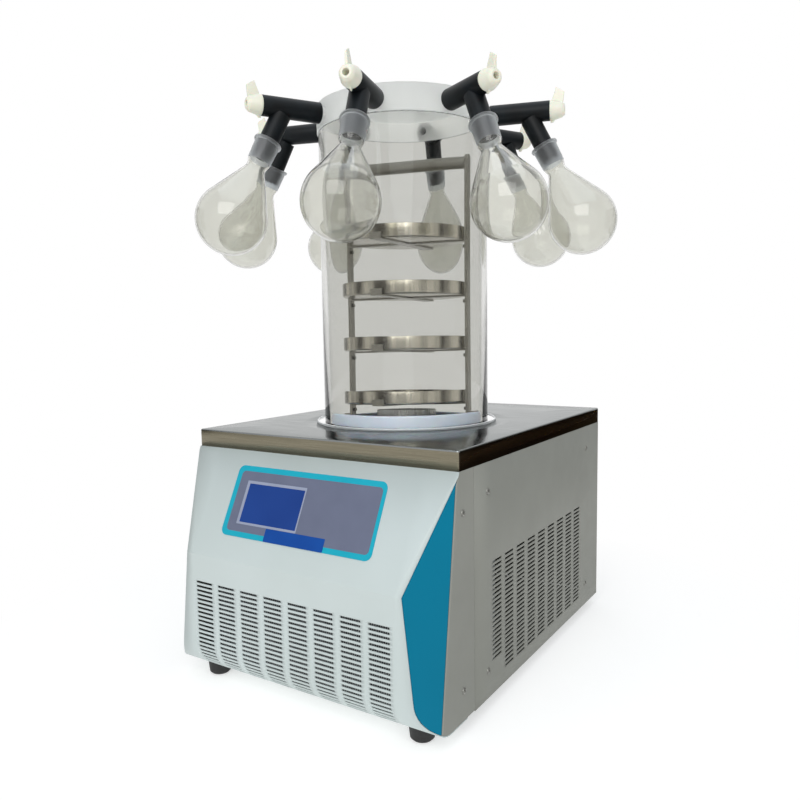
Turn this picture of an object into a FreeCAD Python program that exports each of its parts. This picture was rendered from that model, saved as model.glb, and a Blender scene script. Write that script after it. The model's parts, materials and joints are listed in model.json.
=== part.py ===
"""Bench-top freeze dryer with an eight-port flask manifold and a four-tray rack.

Frame: millimetres, +Z up, front towards -Y. The origin is on the floor, on the
vertical axis of the drying chamber, which is also the centre of the whole outline.
"""
import FreeCAD, Part
import math
import os
import re
import Sketcher
from FreeCAD import Vector

SIZES = {
    # Cabinet
    "cabinet_width": 450.0,
    "cabinet_depth": 540.0,
    "axis_setback": 238.0,
    "foot_height": 20.0,
    "cabinet_height": 322.0,
    "plate_rim": 26.0,
    "plate_sheet": 1.5,
    "panel_sheet": 1.5,
    "seam": 0.4,
    "strip_depth": 39.0,
    "side_return": 14.0,
    "plate_corner": 2.5,
    # Front cover: sloped face over an upright face that curls under
    "nose_reach": 70.5,
    "slope_fall": 142.6,
    "curl_radius": 49.0,
    "curl_flange": 40.0,
    # Corner cheeks
    "cheek_turn": 39.96,
    "cheek_lean": 4.98,
    "cheek_inset": 2.0,
    "cheek_sheet": 2.0,
    # Front louvre slots
    "slot_columns": 8,
    "slot_margin": 58.05,
    "slot_width": 31.5,
    "slot_height": 3.3,
    "slot_pitch": 6.4,
    "slot_drop": 39.4,
    "slot_wrap": 60.0,
    # Chassis
    "chassis_sheet": 2.0,
    "upright_width": 84.0,
    "rear_upright_width": 75.0,
    "upright_leaf": 20.0,
    "upright_lap": 35.0,
    # Screws
    "screw_shank": 2.0,
    "screw_hole": 2.2,
    "screw_head": 4.6,
    "screw_dome": 2.2,
    "screw_grip": 8.0,
    "screw_rise": 38.0,
    "screw_drop": 39.0,
    "strip_screw": 9.0,
    "strip_screw_rise": 41.0,
    "strip_screw_drop": 53.0,
    "front_screw": 79.0,
    "rear_screw": 68.0,
    # Feet
    "foot_radius": 18.0,
    "foot_base_radius": 15.0,
    "foot_side": 45.0,
    "foot_front": 51.5,
    "foot_rear": 47.0,
    # Control panel, measured down the slope from its top edge
    "overlay_half_width": 130.0,
    "overlay_top": 22.5,
    "overlay_bottom": 125.0,
    "overlay_sheet": 1.0,
    "overlay_corner": 10.0,
    "screen_left": -101.0,
    "screen_right": 1.0,
    "screen_top": 48.0,
    "screen_bottom": 103.6,
    "screen_rim": 5.0,
    "screen_module": 15.0,
    "window_gap": 0.2,
    "board_sheet": 1.6,
    "board_margin": 12.0,
    # Cold trap and its ring
    "trap_depth": 150.0,
    "trap_wall": 1.5,
    "trap_bend": 12.0,
    "trap_margin": 8.0,
    "flange_lap": 16.0,
    "ring_height": 20.0,
    "ring_clearance": 4.0,
    "ring_lap": 9.0,
    "ring_gap": 0.3,
    "ring_edge": 1.5,
    "foam_lap": 18.0,
    "foam_floor": 24.0,
    "foam_gap": 0.3,
    "guide_radius": 48.0,
    "guide_wall": 1.2,
    "guide_rise": 27.0,
    "guide_notch": 14.0,
    # Chamber
    "tube_radius": 133.0,
    "tube_wall": 8.0,
    "tube_height": 453.0,
    "seal_sheet": 2.0,
    "seal_reach": 12.5,
    "seal_lip": 2.5,
    "seal_lip_height": 4.0,
    # Manifold drum and its ports
    "drum_lap": 2.0,
    "drum_wall": 9.0,
    "drum_height": 38.0,
    "drum_lid": 9.0,
    "port_count": 8,
    "port_first": 16.25,
    "port_rise": 15.5,
    "port_radius": 10.0,
    "port_bore": 6.0,
    "port_length": 24.0,
    # Rubber valve bodies
    "valve_gap": 6.0,
    "valve_length": 85.0,
    "valve_radius": 16.0,
    "valve_fit": 0.05,
    "plug_radius": 11.0,
    "plug_inset": 25.0,
    "passage_radius": 6.0,
    "branch_edge": 1.8,
    "branch_tilt": 27.0,
    "branch_shoulder": 56.0,
    "stopper_length": 26.0,
    "stopper_fit": 0.1,
    # Knobs
    "knob_lap": 1.3,
    "knob_nose": 8.5,
    "knob_length": 31.0,
    "knob_straight": 10.0,
    "knob_waist": 14.8,
    "knob_taper": 11.5,
    "knob_gap": 0.3,
    "knob_bore": 5.4,
    "knob_bore_depth": 20.0,
    "plug_bore": 5.5,
    "fin_sheet": 4.4,
    "fin_edge": 1.4,
    "fin_start": 7.0,
    "fin_rise": 22.0,
    "fin_slope": 24.0,
    "pointer_length": 11.0,
    "pointer_rise": 3.5,
    # Flasks
    "mouth_radius": 18.0,
    "bead_lap": 2.5,
    "bead_height": 5.0,
    "joint_length": 33.0,
    "joint_taper": 1.0,
    "throat_radius": 13.2,
    "throat_depth": 44.0,
    "bulb_radius": 55.0,
    "bulb_depth": 124.0,
    "glass_wall": 2.2,
    # Trays and rack
    "tray_clearance": 25.0,
    "tray_height": 20.0,
    "tray_sheet": 1.2,
    "tray_count": 4,
    "tray_rise": 36.4,
    "tray_pitch": 82.3,
    "rack_turn": 8.0,
    "rack_offset": 8.0,
    "post_gap": 1.5,
    "post_width": 13.0,
    "post_sheet": 5.0,
    "rack_height": 410.0,
    "handle_drop": 12.5,
    "handle_radius": 9.0,
    "strip_width": 19.0,
    "strip_sheet": 2.0,
    "strip_gap": 0.4,
    "tab_height": 8.0,
    "peg_radius": 2.5,
    "peg_drop": 9.0,
    "peg_length": 4.0,
    "foot_tab": 16.0,
    # Vacuum port at the back
    "vacuum_drop": 46.0,
    "vacuum_radius": 14.5,
    "vacuum_bore": 12.5,
    "vacuum_neck": 9.0,
    "vacuum_flange": 20.0,
    "vacuum_flange_sheet": 3.0,
    "vacuum_stand_out": 17.0,
    # Drain
    "drain_radius": 6.0,
    "drain_bore": 4.0,
    "drain_drop": 32.5,
    "spigot_length": 24.0,
    "drain_bend": 20.0,
    "drain_block": 20.0,
    "drain_block_depth": 12.0,
    "lever_length": 38.0,
    "lever_sheet": 3.0,
    "lever_hub": 8.0,
    "stem_radius": 3.0,
    # Refrigeration
    "compressor_side": 103.0,
    "compressor_rear": 97.0,
    "compressor_radius": 62.0,
    "compressor_lift": 9.0,
    "compressor_air": 11.5,
    "compressor_bend": 18.0,
    "condenser_width": 300.0,
    "condenser_depth": 40.0,
    "condenser_height": 150.0,
    "condenser_inset": 28.5,
    "condenser_foot": 8.0,
    "fan_margin": 9.0,
    "fan_hub": 18.0,
    "fan_depth": 18.0,
    "fan_blades": 5,
    "blade_width": 30.0,
    "blade_sheet": 1.5,
    "blade_pitch": 28.0,
    "fan_gap": 12.0,
    "motor_radius": 32.0,
    "motor_length": 48.0,
    "motor_gap": 4.0,
    "shaft_length": 22.0,
    "shaft_radius": 4.0,
    "shaft_fit": 0.05,
    # Mains inlet and switch
    "inlet_side": 75.0,
    "inlet_height": 90.0,
    "inlet_width": 50.0,
    "inlet_tall": 62.0,
    "inlet_flange": 3.0,
    "inlet_depth": 26.0,
    "inlet_lap": 3.0,
    "socket_width": 25.0,
    "socket_tall": 17.0,
    "socket_depth": 17.0,
    "inlet_margin": 6.0,
    "rocker_width": 20.0,
    "rocker_tall": 26.0,
    "rocker_gap": 0.6,
    "rocker_well": 14.0,
    "rocker_rise": 5.0,
    "rocker_sink": 3.0,
    "rocker_tilt": 10.0,
}

# Places and sizes that follow from the ones above
DERIVED = {
    "side_face": "cabinet_width / 2",
    "plate_front": "-axis_setback",
    "plate_back": "cabinet_depth - axis_setback",
    "body_top": "foot_height + cabinet_height",
    "plate_top": "body_top + plate_rim",
    "floor_top": "foot_height + chassis_sheet",
    "nose_front": "plate_front - nose_reach",
    "crease_height": "body_top - slope_fall",
    "slope_lean": "atan2(nose_reach; slope_fall)",
    "slope_roll": "atan2(slope_fall; nose_reach)",
    "seam_line": "plate_front + strip_depth",
    "slot_top": "crease_height - slot_drop",
    "slot_flat": "slot_top - foot_height - curl_radius",
    "slot_rows": "floor((slot_flat + curl_radius * slot_wrap * pi / 180) / slot_pitch)",
    "slot_column_pitch": "(cabinet_width - 2 * slot_margin - slot_width) / (slot_columns - 1)",
    "ring_radius": "tube_radius - tube_wall - ring_clearance",
    "plate_opening": "ring_radius - ring_lap",
    "trap_radius": "plate_opening - trap_margin",
    "trap_outside": "trap_radius + trap_wall",
    "trap_flange": "plate_opening + flange_lap",
    "foam_radius": "trap_flange + foam_lap",
    "flange_top": "plate_top - plate_sheet",
    "flange_under": "flange_top - trap_wall",
    "trap_floor": "flange_top - trap_depth",
    "foam_under": "trap_floor - foam_floor",
    "ring_top": "plate_top + ring_height",
    "tube_foot": "plate_top + seal_sheet",
    "drum_foot": "tube_foot + tube_height",
    "drum_radius": "tube_radius + drum_lap",
    "port_height": "drum_foot + port_rise",
    "valve_start": "drum_radius + valve_gap",
    "valve_end": "valve_start + valve_length",
    "plug_start": "valve_start + plug_inset",
    "branch_start": "valve_end - branch_edge - branch_radius / cos(branch_tilt)"
                    " - (knob_base + pointer_rise) * tan(branch_tilt)",
    "branch_pitch": "180 - branch_tilt",
    "branch_radius": "mouth_radius - glass_wall - stopper_fit",
    "knob_base": "valve_radius + knob_lap",
    "knob_face": "valve_end + knob_gap",
    "bead_radius": "mouth_radius + bead_lap",
    "joint_end_radius": "mouth_radius - joint_taper",
    "tray_radius": "tube_radius - tube_wall - tray_clearance",
    "post_inner": "tray_radius + post_gap",
    "rack_top": "plate_top + rack_height",
    "handle_height": "rack_top - handle_drop",
    "vacuum_height": "plate_top - vacuum_drop",
    "drain_height": "foam_under - drain_drop",
    "drain_hole": "drain_radius + window_gap",
    "spigot_foot": "trap_floor + trap_wall - spigot_length",
    "compressor_x": "-side_face + compressor_side",
    "compressor_low": "floor_top + compressor_lift",
    "compressor_high": "foam_under - compressor_air",
    "condenser_front": "nose_front + condenser_inset",
    "condenser_rear": "condenser_front + condenser_depth",
    "fan_radius": "condenser_height / 2 - fan_margin",
    "fan_height": "floor_top + condenser_foot + condenser_height / 2",
    "fan_front": "condenser_rear + chassis_sheet + fan_gap",
    "inlet_x": "side_face - inlet_side",
    "inlet_face": "plate_back + inlet_flange",
    "rocker_axis": "inlet_height + inlet_tall / 2 - inlet_margin - rocker_tall / 2",
}

doc = FreeCAD.newDocument("FreezeDryer")
sheet = doc.addObject("Spreadsheet::Sheet", "Sizes")
for row, (alias, size) in enumerate(SIZES.items(), start=1):
    sheet.set(f"A{row}", alias)
    sheet.set(f"B{row}", str(size))
    sheet.setAlias(f"B{row}", alias)
doc.recompute()

NODES = []
WORD = re.compile(r"\b[a-z]\w*\b")


# ---------------------------------------------------------------- helpers
def bound(expression):
    """Write a plain expression out in cells of the sheet."""
    def spell(match):
        word = match.group()
        if word in DERIVED:
            return f"({bound(DERIVED[word])})"
        return f"Sizes.{word}" if word in SIZES else word
    return WORD.sub(spell, str(expression))


def number(expression):
    """Present value of an expression, for a sketch's first layout."""
    return float(sheet.evalExpression(bound(expression)))


def tie(thing, prop, expression):
    thing.setExpression(prop, bound(expression))


def place(thing, x="0", y="0", z="0", yaw="0", pitch="0", roll="0"):
    """Bind a placement: position, then turns about Z, Y and X."""
    base = f"create(<<vector>>; {x}; {y}; {z})"
    turn = f"create(<<rotation>>; {yaw}; {pitch}; {roll})"
    tie(thing, "Placement", f"create(<<placement>>; {base}; {turn})")
    return thing


def node(thing, label):
    """Name a finished sub-part and put it on the list of files to write."""
    thing.Label = label
    NODES.append(thing)
    return thing


def primitive(kind, name, where, **lengths):
    thing = doc.addObject(kind, name)
    for prop, expression in lengths.items():
        tie(thing, prop, expression)
    return place(thing, **where)


def block(name, width, depth, height, **where):
    return primitive("Part::Box", name, where, Length=width, Width=depth, Height=height)


def rod(name, radius, height, **where):
    return primitive("Part::Cylinder", name, where, Radius=radius, Height=height)


def cone(name, low, high, height, **where):
    return primitive("Part::Cone", name, where, Radius1=low, Radius2=high, Height=height)


def joined(name, pieces):
    thing = doc.addObject("Part::MultiFuse", name)
    thing.Shapes = pieces
    thing.Refine = True
    return thing


def cut(name, base, tool):
    thing = doc.addObject("Part::Cut", name)
    thing.Base = base
    thing.Tool = tool
    thing.Refine = True
    return thing


def shared(name, pieces):
    thing = doc.addObject("Part::MultiCommon", name)
    thing.Shapes = pieces
    return thing


def mirrored(name, source):
    """The same piece on the other side of the cabinet."""
    thing = doc.addObject("Part::Mirroring", name)
    thing.Source = source
    thing.Normal = Vector(1, 0, 0)
    return thing


def new_body(name):
    return doc.addObject("PartDesign::Body", name)


def sketch_on(body, plane, offset="0"):
    """Sketch on one of the body's own origin planes, moved along its normal."""
    sketch = body.newObject("Sketcher::SketchObject", body.Name + "Sketch")
    origin_plane = [item for item in body.Origin.OriginFeatures if item.Role == plane]
    sketch.AttachmentSupport = [(origin_plane[0], "")]
    sketch.MapMode = "FlatFace"
    if offset != "0":
        tie(sketch, "AttachmentOffset.Base.z", offset)
    return sketch


def pin(sketch, edge, end, x, y):
    """Hold one end of an edge at a bound distance from the sketch's origin."""
    for kind, value, axis in (("DistanceX", x, -2), ("DistanceY", y, -1)):
        if value == "0":
            sketch.addConstraint(Sketcher.Constraint("PointOnObject", edge, end, axis))
            continue
        held = Sketcher.Constraint(kind, -1, 1, edge, end, number(value))
        tie(sketch, f"Constraints[{sketch.addConstraint(held)}]", value)


def outline(sketch, points):
    """Draw a closed profile from bound corner points.

    A corner is (x, y). With (x, y, centre_x, centre_y, turn) the edge that leaves it
    is an arc about that centre, anticlockwise for turn 1 and clockwise for turn -1.
    """
    corners = [(number(point[0]), number(point[1])) for point in points]
    edges = []
    for index, point in enumerate(points):
        here = corners[index]
        ahead = corners[(index + 1) % len(points)]
        if len(point) == 2:
            line = Part.LineSegment(Vector(*here, 0), Vector(*ahead, 0))
            edges.append((sketch.addGeometry(line, False), 1, 2))
            continue
        centre = (number(point[2]), number(point[3]))
        first, last = (here, ahead) if point[4] > 0 else (ahead, here)
        start = math.atan2(first[1] - centre[1], first[0] - centre[0])
        stop = math.atan2(last[1] - centre[1], last[0] - centre[0])
        if stop <= start:
            stop += 2 * math.pi
        circle = Part.Circle(Vector(*centre, 0), Vector(0, 0, 1), math.dist(here, centre))
        arc = sketch.addGeometry(Part.ArcOfCircle(circle, start, stop), False)
        edges.append((arc, 1, 2) if point[4] > 0 else (arc, 2, 1))
    for index, (edge, start, end) in enumerate(edges):
        following = edges[(index + 1) % len(edges)]
        sketch.addConstraint(Sketcher.Constraint("Coincident", edge, end, following[0], following[1]))
        pin(sketch, edge, start, points[index][0], points[index][1])
        if len(points[index]) > 2:
            here, ahead = corners[index], corners[(index + 1) % len(points)]
            upright = abs(ahead[1] - here[1]) > abs(ahead[0] - here[0])
            kind, value, axis = ("DistanceX", points[index][2], -2)
            if not upright:
                kind, value, axis = ("DistanceY", points[index][3], -1)
            if value == "0":
                sketch.addConstraint(Sketcher.Constraint("PointOnObject", edge, 3, axis))
                continue
            held = Sketcher.Constraint(kind, -1, 1, edge, 3, number(value))
            tie(sketch, f"Constraints[{sketch.addConstraint(held)}]", value)


def rectangle(sketch, left, low, right, high):
    outline(sketch, [(left, low), (right, low), (right, high), (left, high)])


def rounded(sketch, left, low, right, high, bend):
    """Rectangle with four equal corner arcs."""
    west, east, south, north = [f"{side} {turn} {bend}" for side, turn in (
        (left, "+"), (right, "-"), (low, "+"), (high, "-"))]
    outline(sketch, [
        (west, low), (east, low, east, south, 1), (right, south), (right, north, east, north, 1),
        (east, high), (west, high, west, north, 1), (left, north), (left, south, west, south, 1)])


def disc(sketch, x, y, radius):
    circle = Part.Circle(Vector(number(x), number(y), 0), Vector(0, 0, 1), number(radius))
    edge = sketch.addGeometry(circle, False)
    held = sketch.addConstraint(Sketcher.Constraint("Radius", edge, number(radius)))
    tie(sketch, f"Constraints[{held}]", radius)
    pin(sketch, edge, 3, x, y)


def pad(body, sketch, length, midplane=False, reverse=False):
    feature = body.newObject("PartDesign::Pad", body.Name + "Pad")
    feature.Profile = sketch
    tie(feature, "Length", length)
    feature.Midplane = midplane
    feature.Reversed = reverse
    sketch.Visibility = False
    return feature


def pocket(body, sketch, length=None, reverse=False):
    """Cut a profile; with no length it goes through the whole body, both ways."""
    doc.recompute()
    before = body.Shape.Volume
    feature = body.newObject("PartDesign::Pocket", body.Name + "Pocket")
    feature.Profile = sketch
    if length is None:
        feature.Type = "ThroughAll"
        feature.Midplane = True
    else:
        tie(feature, "Length", length)
        feature.Reversed = reverse
    doc.recompute()
    if body.Shape.Volume >= before:
        raise RuntimeError(f"{body.Name}: the pocket removed nothing")
    return feature


def turned(name, points):
    """Body of revolution about Z from a half profile in the XZ plane."""
    body = new_body(name)
    sketch = sketch_on(body, "XZ_Plane")
    outline(sketch, points)
    feature = body.newObject("PartDesign::Revolution", name + "Turn")
    feature.Profile = sketch
    feature.ReferenceAxis = (sketch, ["V_Axis"])
    feature.Angle = 360.0
    return body


def polar(body, features, count):
    """Repeat features evenly about the body's Z axis."""
    pattern = body.newObject("PartDesign::PolarPattern", body.Name + "Polar")
    pattern.Originals = features
    axis = [item for item in body.Origin.OriginFeatures if item.Role == "Z_Axis"]
    pattern.Axis = (axis[0], [""])
    pattern.Angle = 360.0
    tie(pattern, "Occurrences", count)
    body.Tip = pattern
    return pattern


# ---------------------------------------------------------------- outline of the front
def nose_profile(inset):
    """Side view of the front cover's outer face, moved inwards by inset."""
    bevel = f"{inset} * tan(slope_lean / 2)"
    top_y = f"plate_front + {inset} / cos(slope_lean)"
    face_y = f"nose_front + {inset}"
    centre = ("nose_front + curl_radius", "foot_height + curl_radius")
    return [
        (top_y, "body_top"),
        (face_y, f"crease_height - {bevel}"),
        (face_y, centre[1], centre[0], centre[1], 1),
        (centre[0], f"foot_height + {inset}"),
    ]


def nose_block(name, inset, half_width):
    """Solid filling the front cover behind its face, as a tool for the corner pieces."""
    body = new_body(name)
    sketch = sketch_on(body, "YZ_Plane")
    back = "seam_line - seam"
    points = nose_profile(inset)
    outline(sketch, points + [(back, f"foot_height + {inset}"), (back, "body_top")])
    pad(body, sketch, f"2 * {half_width}", midplane=True)
    return body


def cheek_box(name, back, thickness):
    """Slab parallel to the right cheek; its near face lies back behind the cheek's face."""
    yaw, pitch = "(-cheek_turn)", "(90 - cheek_lean)"
    above, ahead = "(cabinet_height / 5)", "(cabinet_height / 2)"
    x = f"side_face - {above} * cos({yaw}) * cos({pitch}) + {ahead} * sin({yaw})"
    y = f"plate_front - cheek_inset - {above} * sin({yaw}) * cos({pitch}) - {ahead} * cos({yaw})"
    z = f"body_top + {above} * sin({pitch})"
    x += f" - {back} * cos({yaw}) * sin({pitch})"
    y += f" - {back} * sin({yaw}) * sin({pitch})"
    z += f" - {back} * cos({pitch})"
    return block(name, "1.5 * cabinet_height", "cabinet_height", thickness, x=x, y=y, z=z,
                 yaw=yaw, pitch=pitch)


# ---------------------------------------------------------------- chassis
def screw_places():
    """Where the side screws pass, as (y, z): two in the strip, two at each panel edge."""
    strip = "plate_front + strip_screw"
    places = [(strip, "foot_height + strip_screw_rise"), (strip, "body_top - strip_screw_drop")]
    for along in ("plate_front + front_screw", "plate_back - rear_screw"):
        places += [(along, "foot_height + screw_rise"), (along, "body_top - screw_drop")]
    return places


def foot_places():
    return [(f"{sign} * (side_face - foot_side)", y) for sign in (-1, 1)
            for y in ("nose_front + foot_front", "plate_back - foot_rear")]


def make_chassis():
    """Base sheet with four welded angle uprights that the covers screw to."""
    inner = "(side_face - panel_sheet)"
    front = "(nose_front + curl_radius + curl_flange)"
    back = "(plate_back - panel_sheet)"
    pieces = [block("ChassisFloor", f"2 * {inner}", f"{back} - {front}", "chassis_sheet",
                    x=f"-{inner}", y=front, z="foot_height")]
    low = "(foot_height + chassis_sheet)"
    high = f"plate_top - plate_sheet - {low}"
    front_start = "(seam_line - upright_lap)"
    front_width = f"{front} + upright_width - {front_start}"
    rear_start = f"({back} - rear_upright_width)"
    for side, web_x, leaf_x in (("Left", f"-{inner}", f"-{inner}"),
                                ("Right", f"{inner} - chassis_sheet", f"{inner} - upright_leaf")):
        for end, start, width, leaf_y in (
                ("Front", front_start, front_width, front_start),
                ("Rear", rear_start, "rear_upright_width", f"{back} - chassis_sheet")):
            pieces.append(block(f"{side}{end}Web", "chassis_sheet", width, high,
                                x=web_x, y=start, z=low))
            pieces.append(block(f"{side}{end}Leaf", "upright_leaf", "chassis_sheet", high,
                                x=leaf_x, y=leaf_y, z=low))
    holes = []
    for index, (y, z) in enumerate(screw_places()):
        holes.append(rod(f"ChassisScrewHole{index}", "screw_hole", f"2 * {inner} + 4",
                         x=f"-{inner} - 2", y=y, z=z, pitch="90"))
    frame = joined("ChassisFrame", pieces)
    return node(cut("Chassis", frame, joined("ChassisHoles", holes)), "chassis")


def make_feet():
    """Four moulded rubber feet, wider at the top, with a rounded lower rim."""
    feet = []
    for index, (x, y) in enumerate(foot_places()):
        upper = cone(f"Foot{index}Upper", "foot_base_radius + 1", "foot_radius", "foot_height - 3",
                     x=x, y=y, z="3")
        lower = cone(f"Foot{index}Lower", "foot_base_radius - 2", "foot_base_radius + 1", "3",
                     x=x, y=y)
        feet += [upper, lower]
    return node(joined("Feet", feet), "feet")


# ---------------------------------------------------------------- covers
def make_front_panel():
    """Folded front cover with punched louvre slots, a screen opening and bevelled ends."""
    body = new_body("FrontSheet")
    sketch = sketch_on(body, "YZ_Plane")
    outer = nose_profile("0")
    inner = nose_profile("panel_sheet")
    flange = "nose_front + curl_radius + curl_flange"
    curl_end, curl_start = inner[3], inner[2]
    outline(sketch, outer + [
        (flange, "foot_height"), (flange, "foot_height + panel_sheet"),
        (*curl_end, *curl_start[2:4], -1), curl_start[:2], inner[1], inner[0]])
    pad(body, sketch, "cabinet_width", midplane=True)
    add_slots(body)
    opening = block("ScreenOpening", "screen_right - screen_left - 2 * screen_rim + 2 * window_gap",
                    "screen_bottom - screen_top - 2 * screen_rim + 2 * window_gap", "20",
                    **on_slope("screen_left + screen_rim - window_gap",
                               "screen_bottom - screen_rim + window_gap", "-10"))
    right = cheek_box("RightBevel", "0", "90")
    tools = joined("FrontTools", [opening, right, mirrored("LeftBevel", right)])
    return node(cut("FrontPanel", body, tools), "front_panel")


def add_slots(body):
    """One column of slots, evenly spaced along the sheet round the curl, then repeated."""
    sketch = sketch_on(body, "XZ_Plane")
    left = "(-(slot_columns - 1) * slot_column_pitch / 2 - slot_width / 2)"
    for row in range(round(number("slot_rows"))):
        edges = []
        for run in (f"({row} * slot_pitch)", f"({row} * slot_pitch + slot_height)"):
            straight = f"min({run}; slot_flat)"
            turn = f"(max(0; {run} - slot_flat) / curl_radius * 180 / pi)"
            edges.append(f"slot_top - {straight} - curl_radius * sin({turn})")
        rectangle(sketch, left, edges[1], f"{left} + slot_width", edges[0])
    column = pocket(body, sketch)
    pattern = body.newObject("PartDesign::LinearPattern", "SlotColumns")
    pattern.Originals = [column]
    pattern.Direction = (sketch, ["H_Axis"])
    tie(pattern, "Length", "(slot_columns - 1) * slot_column_pitch")
    tie(pattern, "Occurrences", "slot_columns")
    body.Tip = pattern


def on_slope(x, down, out):
    """Placement on the sloped face: x across, down the slope, out from its surface."""
    return {
        "x": x,
        "y": f"plate_front - ({down}) * sin(slope_lean) - ({out}) * cos(slope_lean)",
        "z": f"body_top - ({down}) * cos(slope_lean) + ({out}) * sin(slope_lean)",
        "roll": "slope_roll",
    }


def make_cheeks():
    """Flat corner plates between the front cover and the side strips."""
    fill = nose_block("CheekFill", "(panel_sheet + seam)", "(side_face - panel_sheet - seam)")
    slab = cheek_box("CheekSlab", "cheek_sheet", "cheek_sheet")
    right = shared("RightCheek", [fill, slab])
    node(right, "right_cheek")
    node(mirrored("LeftCheek", right), "left_cheek")


def make_strips():
    """Narrow side strips of the front cover, behind the cheeks."""
    fill = nose_block("StripFill", "(panel_sheet + seam)", "(side_face + 1)")
    slab = block("StripSlab", "panel_sheet", "cabinet_depth", "cabinet_height + 20",
                 x="side_face - panel_sheet", y="seam_line - cabinet_depth", z="foot_height")
    solid = shared("StripSolid", [fill, slab])
    tools = [cheek_box("StripBevel", "0", "90")]
    for index, (y, z) in enumerate(screw_places()[:2]):
        tools.append(rod(f"StripHole{index}", "screw_hole", "20", x="side_face - 10", y=y, z=z,
                         pitch="90"))
    right = cut("RightStrip", solid, joined("StripTools", tools))
    node(right, "right_front_strip")
    node(mirrored("LeftStrip", right), "left_front_strip")


def make_side_panels():
    """Plain side sheets with a folded rear return and screw holes."""
    body = new_body("SideSheet")
    sketch = sketch_on(body, "XY_Plane", "foot_height")
    outer, inner = "side_face", "(side_face - panel_sheet)"
    front, back = "(seam_line + seam)", "plate_back"
    outline(sketch, [(outer, front), (outer, back), (f"{outer} - side_return", back),
                     (f"{outer} - side_return", f"{back} - panel_sheet"),
                     (inner, f"{back} - panel_sheet"), (inner, front)])
    pad(body, sketch, "cabinet_height - seam / 2")
    holes = sketch_on(body, "YZ_Plane")
    for y, z in screw_places()[2:]:
        disc(holes, y, z, "screw_hole")
    pocket(body, holes)
    node(body, "right_side_panel")
    node(mirrored("LeftSidePanel", body), "left_side_panel")


def make_rear_panel():
    """Rear sheet between the side returns, with cut-outs for everything that passes it."""
    body = new_body("RearPanel")
    sketch = sketch_on(body, "XZ_Plane", "-plate_back")
    half = "(side_face - side_return - seam)"
    rectangle(sketch, f"-{half}", "foot_height + chassis_sheet + seam", half,
              "body_top - seam")
    pad(body, sketch, "panel_sheet")
    holes = sketch_on(body, "XZ_Plane")
    disc(holes, "0", "vacuum_height", "vacuum_radius + window_gap")
    disc(holes, "0", "drain_height", "drain_radius + window_gap")
    pocket(body, holes)
    window = sketch_on(body, "XZ_Plane")
    rectangle(window, "inlet_x - inlet_width / 2 + inlet_lap", "inlet_height - inlet_tall / 2 + inlet_lap",
              "inlet_x + inlet_width / 2 - inlet_lap", "inlet_height + inlet_tall / 2 - inlet_lap")
    pocket(body, window)
    return node(body, "rear_panel")


def make_screws():
    """Twelve domed screws through the side covers into the uprights."""
    pieces = []
    for side, sign in (("Right", "1"), ("Left", "-1")):
        for index, (y, z) in enumerate(screw_places()):
            turn = f"{sign} * 90"
            pieces.append(rod(f"{side}Shank{index}", "screw_shank", "screw_grip",
                              x=f"{sign} * (side_face - screw_grip)", y=y, z=z, pitch=turn))
            pieces.append(cone(f"{side}Head{index}", "screw_head", "screw_head * 0.6", "screw_dome",
                               x=f"{sign} * side_face", y=y, z=z, pitch=turn))
    return node(joined("PanelScrews", pieces), "panel_screws")


def make_top_plate():
    """Steel worktop: a sheet folded down at its four edges, open above the trap."""
    body = new_body("TopPlate")
    sketch = sketch_on(body, "XY_Plane", "body_top")
    rounded(sketch, "-side_face", "plate_front", "side_face", "plate_back", "plate_corner")
    pad(body, sketch, "plate_rim")
    inside = sketch_on(body, "XY_Plane", "body_top")
    rectangle(inside, "-side_face + plate_sheet", "plate_front + plate_sheet",
              "side_face - plate_sheet", "plate_back - plate_sheet")
    pocket(body, inside, "plate_rim - plate_sheet", reverse=True)
    opening = sketch_on(body, "XY_Plane")
    disc(opening, "0", "0", "plate_opening")
    pocket(body, opening)
    return node(body, "top_plate")


# ---------------------------------------------------------------- control panel
def make_control_overlay():
    """Thin membrane over the slope, with a window for the screen."""
    body = new_body("ControlOverlay")
    sketch = sketch_on(body, "XY_Plane")
    rounded(sketch, "-overlay_half_width", "-overlay_bottom", "overlay_half_width", "-overlay_top",
            "overlay_corner")
    pad(body, sketch, "overlay_sheet")
    window = sketch_on(body, "XY_Plane")
    rectangle(window, "screen_left - window_gap", "-screen_bottom - window_gap",
              "screen_right + window_gap", "-screen_top + window_gap")
    pocket(body, window)
    place(body, **on_slope("0", "0", "0"))
    return node(body, "control_overlay")


def make_touch_screen():
    """Screen glass on a module that drops through the front cover."""
    glass = block("ScreenGlass", "screen_right - screen_left", "screen_bottom - screen_top",
                  "overlay_sheet", **on_slope("screen_left", "screen_bottom", "0"))
    module = block("ScreenModule", "screen_right - screen_left - 2 * screen_rim",
                   "screen_bottom - screen_top - 2 * screen_rim", "screen_module",
                   **on_slope("screen_left + screen_rim", "screen_bottom - screen_rim",
                              "-screen_module"))
    return node(joined("TouchScreen", [glass, module]), "touch_screen")


def make_control_board():
    """Circuit board on the back of the screen module, with its larger components."""
    back = "(-screen_module - board_sheet)"
    width = "(screen_right - screen_left + 2 * board_margin)"
    tall = "(screen_bottom - screen_top + 2 * board_margin)"
    pieces = [block("BoardSheet", width, tall, "board_sheet",
                    **on_slope("screen_left - board_margin", "screen_bottom + board_margin", back))]
    for index, (across, down, wide, high, deep) in enumerate((
            (6, 14, 16, 12, 15), (28, 14, 16, 12, 15), (50, 14, 16, 12, 15), (84, 22, 30, 24, 22),
            (20, 58, 24, 14, 5))):
        pieces.append(block(f"BoardPart{index}", wide, high, f"{deep}",
                            **on_slope(f"screen_left - board_margin + {across}",
                                       f"screen_top + {down}", f"{back} - {deep}")))
    return node(joined("ControlBoard", pieces), "control_board")


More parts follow.
